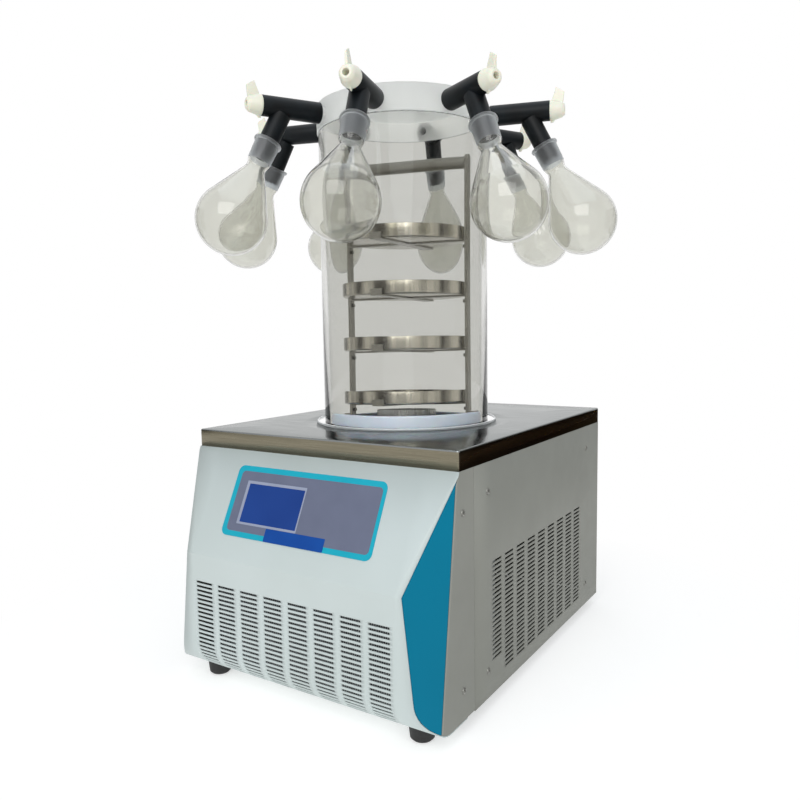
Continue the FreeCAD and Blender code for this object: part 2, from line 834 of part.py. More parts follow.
# ---------------------------------------------------------------- cold trap
def make_cold_trap():
    """Pressed steel pot with a bevelled foot, hung by its flange under the worktop."""
    low, bevel = "trap_floor", "trap_wall * tan(22.5)"
    body = turned("ColdTrap", [
        ("drain_hole", low), ("trap_outside - trap_bend", low),
        ("trap_outside", f"{low} + trap_bend"), ("trap_outside", "flange_under"),
        ("trap_flange", "flange_under"), ("trap_flange", "flange_top"),
        ("trap_radius", "flange_top"), ("trap_radius", f"{low} + trap_bend + {bevel}"),
        (f"trap_outside - trap_bend - {bevel}", f"{low} + trap_wall"),
        ("drain_hole", f"{low} + trap_wall")])
    hole = sketch_on(body, "XZ_Plane")
    disc(hole, "0", "vacuum_height", "vacuum_radius + window_gap")
    pocket(body, hole, "trap_outside + 1")
    return node(body, "cold_trap")


def make_trap_foam():
    """Insulation moulded round the pot and the evaporator wound on it."""
    inside, low = "trap_outside + foam_gap", "trap_floor - foam_gap"
    body = turned("TrapFoam", [
        ("drain_hole", "trap_floor - foam_floor"), ("foam_radius", "trap_floor - foam_floor"),
        ("foam_radius", "flange_under"), (inside, "flange_under"), (inside, low), ("drain_hole", low)])
    hole = sketch_on(body, "XZ_Plane")
    disc(hole, "0", "vacuum_height", "vacuum_radius + window_gap")
    pocket(body, hole, "foam_radius + 1")
    return node(body, "trap_insulation")


def make_trap_ring():
    """White plastic collar that seats in the worktop opening and carries the rack."""
    inside = "trap_radius + 1"
    body = turned("TrapRing", [
        (inside, "flange_top"), ("plate_opening - ring_gap", "flange_top"),
        ("plate_opening - ring_gap", "plate_top"), ("ring_radius", "plate_top"),
        ("ring_radius", "ring_top - ring_edge"), ("ring_radius - ring_edge", "ring_top"),
        (inside, "ring_top")])
    return node(body, "trap_ring")


def make_guide_tube():
    """Steel guide standing in the pot, notched at its foot so that vapour passes under."""
    low = "(trap_floor + trap_wall)"
    high = "plate_top + guide_rise"
    body = turned("GuideTube", [
        ("guide_radius - guide_wall", low), ("guide_radius", low), ("guide_radius", high),
        ("guide_radius - guide_wall", high)])
    for plane in ("XZ_Plane", "YZ_Plane"):
        notch = sketch_on(body, plane)
        rectangle(notch, "-guide_notch", f"{low} - 1", "guide_notch", f"{low} + guide_notch")
        pocket(body, notch)
    return node(body, "guide_tube")


# ---------------------------------------------------------------- chamber and manifold
def make_chamber():
    """Rubber seal on the worktop and the clear tube that stands on it."""
    inside = "tube_radius - tube_wall - seal_lip"
    edge = "(tube_radius + seal_reach)"
    lip = f"{edge} - seal_lip"
    seal = turned("ChamberSeal", [
        (inside, "plate_top"), (edge, "plate_top"),
        (edge, "plate_top + seal_lip_height"), (lip, "plate_top + seal_lip_height"),
        (lip, "tube_foot"), (inside, "tube_foot")])
    node(seal, "chamber_seal")
    tube = turned("ChamberTube", [
        ("tube_radius - tube_wall", "tube_foot"), ("tube_radius", "tube_foot"),
        ("tube_radius", "drum_foot"), ("tube_radius - tube_wall", "drum_foot")])
    node(tube, "chamber_tube")


def make_drum():
    """Clear lid of the chamber: a drum with a ring of hose ports in its wall."""
    top = "drum_foot + drum_height"
    inside = "drum_radius - drum_wall"
    body = turned("Drum", [
        (inside, "drum_foot"), ("drum_radius", "drum_foot"), ("drum_radius", top), ("0", top),
        ("0", f"{top} - drum_lid"), (inside, f"{top} - drum_lid")])
    port = sketch_on(body, "YZ_Plane", f"{inside} + drum_wall / 2")
    disc(port, "0", "port_height", "port_radius")
    stub = pad(body, port, "drum_wall / 2 + port_length")
    polar(body, [stub], "port_count")
    bore = sketch_on(body, "YZ_Plane", f"{inside} - 5")
    disc(bore, "0", "port_height", "port_bore")
    hole = pocket(body, bore, "drum_wall + port_length + 10", reverse=True)
    polar(body, [hole], "port_count")
    place(body, yaw="port_first")
    return node(body, "manifold_drum")


def along_branch(distance):
    """A point on the branch's axis, in the arm's own frame."""
    return {"x": f"branch_start + ({distance}) * sin(branch_tilt)",
            "z": f"port_height - ({distance}) * cos(branch_tilt)"}


def arm_yaw(index):
    return f"(port_first + {index} * 360 / port_count)"


def make_valve_body(index):
    """Rubber T-piece: pushed over a port, with a tilted branch that stops the flask."""
    name = f"Valve{index}"
    tip = "(mouth_radius - (mouth_radius - joint_end_radius) * stopper_length / joint_length)"
    tip += " - glass_wall - stopper_fit"
    skin = joined(name + "Skin", [
        rod(name + "Run", "valve_radius", "valve_end - valve_start", x="valve_start",
            z="port_height", pitch="90"),
        rod(name + "Branch", "branch_radius", "branch_shoulder", pitch="branch_pitch",
            **along_branch("0")),
        cone(name + "Stopper", "branch_radius", tip, "stopper_length", pitch="branch_pitch",
             **along_branch("branch_shoulder"))])
    bores = joined(name + "Bores", [
        rod(name + "Seat", "port_radius + valve_fit", "drum_radius + port_length + 1 - valve_start + 1",
            x="valve_start - 1", z="port_height", pitch="90"),
        rod(name + "Passage", "passage_radius", "valve_end - valve_start", x="valve_start",
            z="port_height", pitch="90"),
        rod(name + "Plug", "plug_radius + valve_fit", "valve_end - plug_start + 1",
            x="plug_start", z="port_height", pitch="90"),
        rod(name + "Outlet", "passage_radius", "branch_shoulder + stopper_length + 1",
            pitch="branch_pitch", **along_branch("0"))])
    body = cut(name + "Body", skin, bores)
    return place(body, yaw=arm_yaw(index))


def knob_shape(name):
    """Plug and thimble-shaped knob turned in one piece about the valve's axis."""
    plug_end = "(plug_start + 0.5 - valve_end - knob_gap)"
    return turned(name, [
        ("0", plug_end), ("plug_radius", plug_end), ("plug_radius", "0"), ("knob_base", "0"),
        ("knob_base", "knob_straight"), ("knob_waist", "knob_straight + knob_taper"),
        ("knob_nose", "knob_length"), ("0", "knob_length")])


def wedge(name, where, **limits):
    """Tapered block, given its two ends' limits."""
    return primitive("Part::Wedge", name, where, **limits)


def make_knob(index):
    """Valve plug and its white knob in one moulding, with a grip fin and a pointer."""
    name = f"Knob{index}"
    shape = place(knob_shape(name + "Shape"), x="knob_face", z="port_height", pitch="90")
    fin = wedge(name + "Fin", {"x": "knob_face", "z": "port_height", "roll": "90"},
                Xmin="fin_start", Xmax="knob_length - 1", X2min="fin_start + 12",
                X2max="knob_length + 4", Ymin="knob_nose", Ymax="knob_base + fin_rise",
                Zmin="-fin_sheet / 2", Zmax="fin_sheet / 2", Z2min="-fin_edge / 2",
                Z2max="fin_edge / 2")
    pointer = wedge(name + "Pointer", {"x": "knob_face", "z": "port_height", "roll": "-90"},
                    Xmin="0", Xmax="pointer_length", X2min="0", X2max="pointer_length / 2",
                    Ymin="plug_radius", Ymax="knob_base + pointer_rise",
                    Zmin="-fin_sheet / 2", Zmax="fin_sheet / 2", Z2min="-fin_edge / 2",
                    Z2max="fin_edge / 2")
    bores = joined(name + "Bores", [
        block(name + "FinTop", "60", "fin_sheet + 2", "30", x="knob_face + fin_start + 10",
              y="-fin_sheet / 2 - 1", z="port_height + knob_base + fin_rise", pitch="fin_slope"),
        rod(name + "Bore", "knob_bore", "knob_bore_depth + 1",
            x="knob_face + knob_length - knob_bore_depth", z="port_height", pitch="90"),
        rod(name + "Way", "plug_bore", "branch_start + plug_bore - plug_start", x="plug_start",
            z="port_height", pitch="90"),
        rod(name + "Turn", "plug_bore", "plug_radius + 8", pitch="branch_pitch",
            **along_branch("0"))])
    body = cut(name + "Body", joined(name + "Solid", [shape, fin, pointer]), bores)
    place(body, yaw=arm_yaw(index))
    return node(body, f"valve_knob_{index + 1}")


def flask_tangent(radius, throat):
    """Where the cone of the neck meets the bulb, as (x, z) in the flask's frame."""
    rise = "(bulb_depth - throat_depth)"
    reach = f"sqrt(({throat}) * ({throat}) + {rise} * {rise})"
    angle = f"(atan2({rise}; {throat}) - acos(({radius}) / {reach}))"
    return f"({radius}) * cos({angle})", f"({radius}) * sin({angle}) - bulb_depth"


def make_flask(index):
    """Blown pear-shaped flask with a ground joint and a beaded mouth."""
    outer = flask_tangent("bulb_radius", "throat_radius")
    inner = flask_tangent("bulb_radius - glass_wall", "throat_radius - glass_wall")
    body = turned(f"Flask{index}", [
        ("0", "-bulb_depth - bulb_radius", "0", "-bulb_depth", 1), outer,
        ("throat_radius", "-throat_depth"), ("joint_end_radius", "-joint_length"),
        ("mouth_radius", "-bead_height"), ("bead_radius", "-bead_height"), ("bead_radius", "0"),
        ("mouth_radius - glass_wall", "0"), ("joint_end_radius - glass_wall", "-joint_length"),
        ("throat_radius - glass_wall", "-throat_depth"), (*inner, "0", "-bulb_depth", -1),
        ("0", "-bulb_depth - bulb_radius + glass_wall")])
    mouth = along_branch("branch_shoulder")
    yaw = arm_yaw(index)
    place(body, x=f"({mouth['x']}) * cos({yaw})", y=f"({mouth['x']}) * sin({yaw})", z=mouth["z"],
          yaw=yaw, pitch="-branch_tilt")
    return body


# ---------------------------------------------------------------- rack and trays
def tray_floor(index):
    return f"(plate_top + tray_rise + {index} * tray_pitch)"


def make_rack():
    """Welded tray rack: two flat posts, a round handle and a cross under each tray."""
    end = "(post_width / 2)"
    wall = "(tray_radius + strip_gap)"
    pieces = [rod("RackHandle", "handle_radius", "2 * post_inner", x="-post_inner", y="rack_offset",
                  z="handle_height", pitch="90")]
    for side, sign in (("Left", "-1"), ("Right", "1")):
        start = f"{sign} * (post_inner + post_sheet / 2) - post_sheet / 2"
        pieces.append(block(f"Rack{side}Post", "post_sheet", "post_width",
                            f"rack_top - {end} - ring_top",
                            x=start,
                            y=f"rack_offset - {end}", z="ring_top"))
        pieces.append(rod(f"Rack{side}Top", end, "post_sheet",
                          x=start, y="rack_offset",
                          z=f"rack_top - {end}", pitch="90"))
        pieces.append(block(f"Rack{side}Foot", "foot_tab", "post_width", "strip_sheet",
                            x=f"{sign} * (post_inner + foot_tab / 2) - foot_tab / 2",
                            y=f"rack_offset - {end}", z="ring_top"))
    for index in range(round(number("tray_count"))):
        under = tray_floor(index)
        flat = f"{under} - strip_sheet"
        pieces.append(block(f"RackBar{index}", "2 * post_inner", "post_width", "strip_sheet",
                            x="-post_inner", y=f"rack_offset - {end}", z=flat))
        pieces.append(block(f"RackStrip{index}", "strip_width", f"2 * {wall}", "strip_sheet",
                            x="-strip_width / 2", y=f"-{wall}", z=flat))
        for face, start in (("Front", f"-{wall} - strip_sheet"), ("Rear", wall)):
            pieces.append(block(f"Rack{face}Tab{index}", "strip_width", "strip_sheet",
                                "tab_height + strip_sheet", x="-strip_width / 2", y=start,
                                z=flat))
        for side, sign, turn in (("Left", "-1", "90"), ("Right", "1", "-90")):
            pieces.append(rod(f"RackPeg{side}{index}", "peg_radius", "peg_length + 0.5",
                              x=f"{sign} * (post_inner + 0.5)", y="rack_offset",
                              z=f"{under} - peg_drop", pitch=turn))
    body = joined("Rack", pieces)
    place(body, yaw="rack_turn")
    return node(body, "shelf_rack")


def make_tray(index):
    """Pressed round tray with a rolled rim."""
    low = tray_floor(index)
    body = turned(f"Tray{index}", [
        ("0", low), ("tray_radius", low), ("tray_radius", f"{low} + tray_height"),
        ("tray_radius - tray_sheet", f"{low} + tray_height"),
        ("tray_radius - tray_sheet", f"{low} + tray_sheet"), ("0", f"{low} + tray_sheet")])
    return node(body, f"tray_{index + 1}")


# ---------------------------------------------------------------- back of the cabinet
def make_vacuum_port():
    """Steel pipe from the trap to a clamp flange outside the rear, narrower in the foam."""
    length = "(plate_back + vacuum_stand_out - trap_radius + 1)"
    step = "(foam_radius + vacuum_radius - trap_radius)"
    body = turned("VacuumPort", [
        ("vacuum_neck", "0"), ("vacuum_radius", "0"),
        ("vacuum_radius", f"{length} - vacuum_flange_sheet - 2"),
        ("vacuum_flange", f"{length} - vacuum_flange_sheet"), ("vacuum_flange", length),
        ("vacuum_bore", length), ("vacuum_bore", step), ("vacuum_neck", f"{step} - vacuum_neck")])
    place(body, y="trap_radius - 1", z="vacuum_height", roll="-90")
    return node(body, "vacuum_port")


def make_drain_spigot():
    """Stub in the hole of the trap's floor, with the drain pipe butted under it."""
    skin = rod("SpigotSkin", "drain_radius", "spigot_length", z="spigot_foot")
    bore = rod("SpigotBore", "drain_bore", "spigot_length + 2", z="spigot_foot - 1")
    return node(cut("DrainSpigot", skin, bore), "drain_spigot")


def make_drain_valve():
    """Drain pipe from the spigot, bent back to a valve block outside the rear."""
    sets = []
    for kind, radius in (("Skin", "drain_radius"), ("Bore", "drain_bore")):
        more = "0" if kind == "Skin" else "1"
        fall = rod(f"DrainFall{kind}", radius, f"spigot_foot - drain_height - drain_bend + {more}",
                   z="drain_height + drain_bend")
        bend = primitive("Part::Torus", f"DrainBend{kind}",
                         {"y": "drain_bend", "z": "drain_height + drain_bend", "yaw": "-90",
                          "roll": "-90"}, Radius1="drain_bend", Radius2=radius)
        bend.Angle3 = 90.0
        run = rod(f"DrainRun{kind}", radius, "plate_back - drain_bend + 5", y="drain_bend",
                  z="drain_height", roll="-90")
        sets.append([fall, bend, run])
    half = "drain_block / 2"
    solid = joined("DrainSolid", sets[0] + [
        block("DrainBlock", "drain_block", "drain_block_depth", "drain_block", x=f"-{half}",
              y="plate_back", z=f"drain_height - {half}"),
        rod("DrainNozzle", "drain_radius", "12 + 1", y="plate_back + drain_block_depth / 2",
            z=f"drain_height - {half} - 12"),
        rod("DrainStem", "stem_radius", "lever_sheet + knob_gap + 1",
            y="plate_back + drain_block_depth - 1", z="drain_height", roll="-90")])
    bores = joined("DrainBores", sets[1] + [
        rod("DrainOutlet", "drain_bore", f"12 + {half} + 1",
            y="plate_back + drain_block_depth / 2", z=f"drain_height - {half} - 13")])
    node(cut("DrainValve", solid, bores), "drain_valve")
    start = "plate_back + drain_block_depth + knob_gap"
    lever = joined("LeverSolid", [
        rod("LeverHub", "lever_hub", "lever_sheet", y=start, z="drain_height", roll="-90"),
        block("LeverArm", "lever_length", "lever_sheet", "lever_hub", y=start,
              z="drain_height - lever_hub / 2")])
    eye = rod("LeverEye", "stem_radius + valve_fit", "lever_sheet + 2", y=f"{start} - 1",
              z="drain_height", roll="-90")
    node(cut("DrainLever", lever, eye), "drain_handle")


def make_inlet():
    """Mains inlet with three pins below a rocker switch, in one moulded housing."""
    left, low = "inlet_x - inlet_width / 2", "inlet_height - inlet_tall / 2"
    solid = joined("InletSolid", [
        block("InletFlange", "inlet_width", "inlet_flange", "inlet_tall", x=left, y="plate_back", z=low),
        block("InletBox", "inlet_width - 2 * inlet_lap - seam", "inlet_depth + 1",
              "inlet_tall - 2 * inlet_lap - seam", x=f"{left} + inlet_lap + seam / 2",
              y="plate_back - inlet_depth", z=f"{low} + inlet_lap + seam / 2")])
    socket = block("InletSocket", "socket_width", "socket_depth + 1", "socket_tall",
                   x="inlet_x - socket_width / 2", y="inlet_face - socket_depth",
                   z=f"{low} + inlet_margin")
    well = block("RockerWell", "rocker_width + 2 * rocker_gap", "rocker_well + 1",
                 "rocker_tall + 2 * rocker_gap", x="inlet_x - rocker_width / 2 - rocker_gap",
                 y="inlet_face - rocker_well", z="rocker_axis - rocker_tall / 2 - rocker_gap")
    hollow = cut("InletHollow", solid, joined("InletHollows", [socket, well]))
    pieces = [hollow]
    for index, (across, up) in enumerate((("-7", "0"), ("0", "4"), ("7", "0"))):
        pieces.append(block(f"InletPin{index}", "2", "socket_depth - 1", "4",
                            x=f"inlet_x + {across} - 1", y="inlet_face - socket_depth - 1",
                            z=f"{low} + inlet_margin + socket_tall / 2 - 4 + {up}"))
    node(joined("PowerInlet", pieces), "power_inlet")


def make_rocker():
    """Rocker pad, resting tipped to its off side about a pin across the well."""
    body = new_body("Rocker")
    sketch = sketch_on(body, "YZ_Plane")
    tall, rise = "rocker_tall / 2 - rocker_gap", "rocker_rise"
    outline(sketch, [("0 - rocker_rise", f"-({tall}) * 0.55"), (rise, f"-({tall})"),
                     ("rocker_rise * 0.45", "0"), (rise, tall), ("0 - rocker_rise", f"({tall}) * 0.55")])
    pad(body, sketch, "rocker_width", midplane=True)
    place(body, x="inlet_x", y="inlet_face - rocker_sink", z="rocker_axis",
          roll="rocker_tilt")
    return node(body, "rocker_switch")


# ---------------------------------------------------------------- refrigeration
def make_compressor():
    """Welded hermetic compressor on four rubber grommets."""
    rim = "(compressor_radius - compressor_bend)"
    low, high = "(compressor_low + compressor_bend)", "(compressor_high - compressor_bend)"
    can = turned("CompressorCan", [
        ("0", "compressor_low"), (rim, "compressor_low"), ("compressor_radius", low),
        ("compressor_radius", high), (rim, "compressor_high"), ("0", "compressor_high")])
    half = "compressor_radius"
    pieces = [can,
              rod("CompressorSeam", "compressor_radius + 3", "5",
                  z="(compressor_low + compressor_high) / 2"),
              block("CompressorPlate", f"2 * {half}", f"2 * {half}", "3", x=f"-{half}",
                    y=f"-{half}", z="compressor_low")]
    for index, (x, y) in enumerate(((1, 1), (1, -1), (-1, 1), (-1, -1))):
        pieces.append(rod(f"Grommet{index}", "9", "compressor_lift + 1", x=f"{x} * ({half} - 10)",
                          y=f"{y} * ({half} - 10)", z="floor_top"))
    thing = joined("Compressor", pieces)
    place(thing, x="compressor_x", y="plate_back - compressor_rear")
    return node(thing, "compressor")


def make_condenser():
    """Finned condenser core in a folded shroud that stands on the base sheet."""
    half = "condenser_width / 2"
    low = "(floor_top + condenser_foot)"
    solid = joined("CondenserSolid", [
        block("CondenserCore", "condenser_width", "condenser_depth", "condenser_height",
              x=f"-{half}", y="condenser_front", z=low),
        block("ShroudSheet", "condenser_width", "chassis_sheet", "condenser_height + condenser_foot",
              x=f"-{half}", y="condenser_rear", z="floor_top"),
        block("ShroudFoot", "condenser_width", "32", "chassis_sheet", x=f"-{half}", y="condenser_rear",
              z="floor_top")])
    hole = rod("ShroudHole", "fan_radius + 4", "chassis_sheet + 1", y="condenser_rear", z="fan_height",
               roll="-90")
    return node(cut("Condenser", solid, hole), "condenser")


def make_fan():
    """Axial fan: five pitched blades on a hub, its shaft running in the motor."""
    half = "(blade_width / 2)"
    pieces = [rod("FanHub", "fan_hub", "fan_depth", z="-fan_depth / 2"),
              rod("FanShaft", "shaft_radius", "shaft_length", z="fan_depth / 2 - 1")]
    for index in range(round(number("fan_blades"))):
        yaw = f"({index} * 360 / fan_blades)"
        side = f"({half} * cos(blade_pitch))"
        pieces.append(block(f"Blade{index}", "fan_radius - fan_hub + 3", "blade_width", "blade_sheet",
                            x=f"(fan_hub - 3) * cos({yaw}) + {side} * sin({yaw})",
                            y=f"(fan_hub - 3) * sin({yaw}) - {side} * cos({yaw})",
                            z=f"-{half} * sin(blade_pitch)", yaw=yaw, roll="blade_pitch"))
    rotor = joined("FanRotor", pieces)
    place(rotor, y="fan_front + fan_depth / 2", z="fan_height", roll="-90")
    node(rotor, "fan_rotor")
    start = "(fan_front + fan_depth + motor_gap)"
    shell = joined("MotorShell", [
        rod("MotorCan", "motor_radius", "motor_length", y=start, z="fan_height", roll="-90"),
        block("MotorLeg", "1.2 * motor_radius", "chassis_sheet", "fan_height - floor_top",
              x="-0.6 * motor_radius", y=f"{start} + motor_length - chassis_sheet", z="floor_top"),
        block("MotorFoot", "1.2 * motor_radius", "30", "chassis_sheet", x="-0.6 * motor_radius",
              y=f"{start} + motor_length - chassis_sheet", z="floor_top")])
    bore = rod("MotorBore", "shaft_radius + shaft_fit", "shaft_length", y=f"{start} - 1",
               z="fan_height", roll="-90")
    node(cut("FanMotor", shell, bore), "fan_motor")


# ---------------------------------------------------------------- build and write
make_chassis()
make_feet()
make_front_panel()
make_cheeks()
make_strips()
make_side_panels()
make_rear_panel()
make_screws()
make_top_plate()
make_control_overlay()
make_touch_screen()
make_control_board()
make_cold_trap()
make_trap_foam()
make_trap_ring()
make_guide_tube()
make_chamber()
make_drum()
ARMS = range(round(number("port_count")))
node(joined("ValveBodies", [make_valve_body(arm) for arm in ARMS]), "valve_bodies")
for arm in ARMS:
    make_knob(arm)
node(joined("Flasks", [make_flask(arm) for arm in ARMS]), "flasks")
make_rack()
for shelf in range(round(number("tray_count"))):
    make_tray(shelf)
make_vacuum_port()
make_drain_spigot()
make_drain_valve()
make_inlet()
make_rocker()
make_compressor()
make_condenser()
make_fan()
doc.recompute()

failed = [thing.Name for thing in doc.Objects if {"Invalid", "Error"} & set(thing.State)]
if failed:
    raise RuntimeError(f"objects that did not build: {failed}")
for thing in NODES:
    if thing.Shape.isNull() or not thing.Shape.isValid() or not thing.Shape.Solids:
        raise RuntimeError(f"{thing.Label} has no valid solid")
os.makedirs("parts", exist_ok=True)
for thing in NODES:
    thing.Shape.exportStep(f"parts/{thing.Label}.step")
    print(f"{thing.Label}: {len(thing.Shape.Solids)} solid(s), {thing.Shape.Volume / 1000:.1f} cm3")
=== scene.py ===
"""Looks of a bench-top freeze dryer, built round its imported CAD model. Metres throughout."""
import bisect
import json
import math

import bmesh
import bpy
from mathutils import Matrix, Vector


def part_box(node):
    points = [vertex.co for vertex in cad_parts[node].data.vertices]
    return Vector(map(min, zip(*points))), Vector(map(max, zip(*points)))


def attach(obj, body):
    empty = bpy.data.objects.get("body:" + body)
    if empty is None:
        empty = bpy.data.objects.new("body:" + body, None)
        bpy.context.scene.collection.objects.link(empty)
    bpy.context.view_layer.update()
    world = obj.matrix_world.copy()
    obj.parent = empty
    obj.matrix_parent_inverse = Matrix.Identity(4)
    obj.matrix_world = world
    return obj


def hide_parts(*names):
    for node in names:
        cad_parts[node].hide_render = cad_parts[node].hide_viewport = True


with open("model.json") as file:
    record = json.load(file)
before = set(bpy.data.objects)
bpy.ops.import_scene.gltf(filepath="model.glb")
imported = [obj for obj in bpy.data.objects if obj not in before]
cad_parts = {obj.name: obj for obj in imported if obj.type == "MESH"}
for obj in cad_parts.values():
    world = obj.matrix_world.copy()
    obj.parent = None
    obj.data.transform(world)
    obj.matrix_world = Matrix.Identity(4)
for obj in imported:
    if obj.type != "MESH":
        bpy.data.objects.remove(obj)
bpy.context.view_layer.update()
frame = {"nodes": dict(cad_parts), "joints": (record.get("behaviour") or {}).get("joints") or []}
JOINTS = {joint["name"]: joint for joint in frame["joints"]}
NODES = frame["nodes"]

# Sizes that the frame's boxes don't tell, in metres, and the studio's levels
PANEL_SHEET = 0.0015
CURL_RADIUS = 0.049
SLOPE_FALL = 0.1426
CHEEK_TURN = math.radians(39.96)
CHEEK_LEAN = math.radians(4.98)
CHEEK_INSET = 0.002
SLOT_PITCH = 0.0064
SLOT_HEIGHT = 0.0033
SLOT_WIDTH = 0.0315
SLOT_COLUMNS = 8
SLOT_MARGIN = 0.05805
SLOT_DROP = 0.0394
SLOT_ROWS = 22
VENT_COLUMNS = 9
VENT_PITCH = 0.0398
VENT_WIDTH = 0.0285
VENT_ROWS = 26
VENT_SHORT_ROWS = 22
VENT_START = 0.0536
VENT_DROP = 0.1365
PLATE_HOLE = 0.112
TRAP_RADIUS = 0.104
COLLAR_BORE = 0.001
COLLAR_PLAY = 0.0003
SEAL_PLAY = 0.0015
SCREW_HEAD = 0.0046
TUBE_WALL = 0.008
SEAL_LIP_WIDTH = 0.0018
PORT_RADIUS = 0.010
PORT_BORE = 0.006
VALVE_RADIUS = 0.0146
VALVE_REACH = 0.005
VALVE_LENGTH = 0.085
PLUG_RADIUS = 0.011
PLUG_INSET = 0.025
BRANCH_BACK = 0.03002
BRANCH_TILT = math.radians(27)
BRANCH_RADIUS = 0.0143
BRANCH_SHOULDER = 0.056
STOPPER_LENGTH = 0.026
STOPPER_TIP = 0.0136
KNOB_RADIUS = 0.0148
KNOB_STRAIGHT = 0.003
KNOB_WAIST = 0.0110
KNOB_TAPER = 0.0145
KNOB_NOSE = 0.0078
KNOB_LENGTH = 0.0215
KNOB_BORE = 0.0046
KNOB_DEPTH = 0.017
MOUTH_RADIUS = 0.018
BEAD_RADIUS = 0.0205
BEAD_HEIGHT = 0.005
JOINT_LENGTH = 0.033
JOINT_TAPER = 0.001
THROAT_RADIUS = 0.0132
THROAT_DEPTH = 0.044
BULB_RADIUS = 0.0508
BULB_DEPTH = 0.128
GLASS_WALL = 0.0022
TRAY_SHEET = 0.0012
TRAY_BEAD = 0.0022
TRAY_BEAD_HEIGHT = 0.0018
WORKTOP_BEND = 0.0022
WORKTOP_RINGS = (0.17, 0.215)
SCREW_DOME = 0.0022
SCREW_RECESS = 0.0011
RECESS_HALF = 0.0007
RECESS_REACH = 0.0027
SCREW_PLACES = ((-0.229, 0.061), (-0.229, 0.289), (-0.159, 0.058), (-0.159, 0.303),
                (0.234, 0.058), (0.234, 0.303))
PUSH_FIT = 0.00005
PORT_INSET = 0.019
BRANCH_START = 0.012
STOPPER_BORE_DEPTH = 0.01
KNOB_GAP = 0.0003
KNOB_GRIP = ((0.0005, 0.0105), (0.0185, 0.0075), (0.0207, 0.0258), (0.0082, 0.0335))
KNOB_POINTER = ((0.0005, 0.011), (0.009, 0.011), (0.0045, 0.0180), (0.0005, 0.0180))
FLOOR_REACH = 6
FLOOR_DROP = 0.0004
FLOOR_GLOW = 0.52
FLOOR_FADE = (0.35, 0.75)
WORLD_LEVEL = 0.42
LIGHT_BOUNCES = 24
CAMERA_BEARING = math.radians(32.4)
CAMERA_DIP = math.radians(5.44)
CAMERA_TILT = math.radians(-0.84)
CAMERA_LENS = 32.853
CAMERA_SHIFT = (-0.0071, -0.0003)
CAMERA_PLACE = (0.63917, -1.00877, 0.51413)

# Where a clear wall's painted dark outline starts and is full, as Layer Weight's Facing
PAINTED_OUTLINE_START, PAINTED_OUTLINE_FULL = 0.68, 0.95

# Sockets of the Mix node when it mixes colours
MIX_FIRST, MIX_SECOND, MIX_RESULT = 6, 7, 2


# ---------------------------------------------------------------- mesh helpers
def fillet(corners, closed=True, steps=5):
    """Polygon through (x, y, radius) corners, each rounded by its own radius."""
    path = []
    count = len(corners)
    for index, (x, y, radius) in enumerate(corners):
        here = Vector((x, y))
        ends = not closed and index in (0, count - 1)
        if radius <= 0 or ends:
            path.append(here)
            continue
        back = (Vector(corners[index - 1][:2]) - here).normalized()
        ahead = (Vector(corners[(index + 1) % count][:2]) - here).normalized()
        half = back.angle(ahead) / 2
        if half > math.pi / 2 - 0.01:
            path.append(here)
            continue
        reach = radius / math.tan(half)
        centre = here + (back + ahead).normalized() * (radius / math.sin(half))
        first, last = here + back * reach - centre, here + ahead * reach - centre
        sweep = first.angle_signed(last)
        for step in range(steps + 1):
            spoke = first.copy()
            spoke.rotate(Matrix.Rotation(-sweep * step / steps, 2))
            path.append(centre + spoke)
    return path


def piece(name, verts, faces, materials, body, slot, stands_for=(), at=None, angle=32, bevel=0,
          sheet=0, outward=None):
    """Turn a mesh into a piece of the object: place it, shade it and hang it on its body.

    An open sheet gets its thickness behind the side that faces outward.
    """
    mesh = bpy.data.meshes.new(name)
    mesh.from_pydata([tuple(v) for v in verts], [], faces)
    if at is not None:
        mesh.transform(at)
    bm = bmesh.new()
    bm.from_mesh(mesh)
    bmesh.ops.remove_doubles(bm, verts=bm.verts, dist=1e-7)
    bmesh.ops.recalc_face_normals(bm, faces=bm.faces)
    if sheet:
        facing = sum((face.normal * face.calc_area() for face in bm.faces), Vector())
        if facing.dot(Vector(outward)) < 0:
            bmesh.ops.reverse_faces(bm, faces=bm.faces)
    bm.to_mesh(mesh)
    bm.free()
    mesh.polygons.foreach_set("use_smooth", [True] * len(mesh.polygons))
    mesh.set_sharp_from_angle(angle=math.radians(angle))
    thing = bpy.data.objects.new(name, mesh)
    bpy.context.scene.collection.objects.link(thing)
    for material in materials if isinstance(materials, (list, tuple)) else [materials]:
        mesh.materials.append(material)
    if sheet:
        back = thing.modifiers.new("Sheet", "SOLIDIFY")
        back.thickness, back.offset, back.use_even_offset = sheet, -1, True
    if bevel:
        edge = thing.modifiers.new("Edges", "BEVEL")
        edge.width, edge.segments, edge.limit_method = bevel, 2, "ANGLE"
        edge.angle_limit = math.radians(40)
        edge.harden_normals = True
    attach(thing, body)
    if stands_for:
        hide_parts(*stands_for)
    return thing


def lathe(profile, segments=96, closed=True):
    """Surface of revolution about Z of (radius, height) points; closed makes it a tube."""
    verts, rings = [], []
    for radius, height in profile:
        if radius < 1e-7:
            rings.append([len(verts)])
            verts.append((0, 0, height))
            continue
        rings.append(list(range(len(verts), len(verts) + segments)))
        for step in range(segments):
            turn = 2 * math.pi * step / segments
            verts.append((radius * math.cos(turn), radius * math.sin(turn), height))
    faces = []
    pairs = list(zip(rings, rings[1:])) + ([(rings[-1], rings[0])] if closed else [])
    for low, high in pairs:
        for step in range(segments):
            ahead = (step + 1) % segments
            ring = [low[step % len(low)], low[ahead % len(low)],
                    high[ahead % len(high)], high[step % len(high)]]
            face = list(dict.fromkeys(ring))
            if len(face) > 2:
                faces.append(face)
    return verts, faces


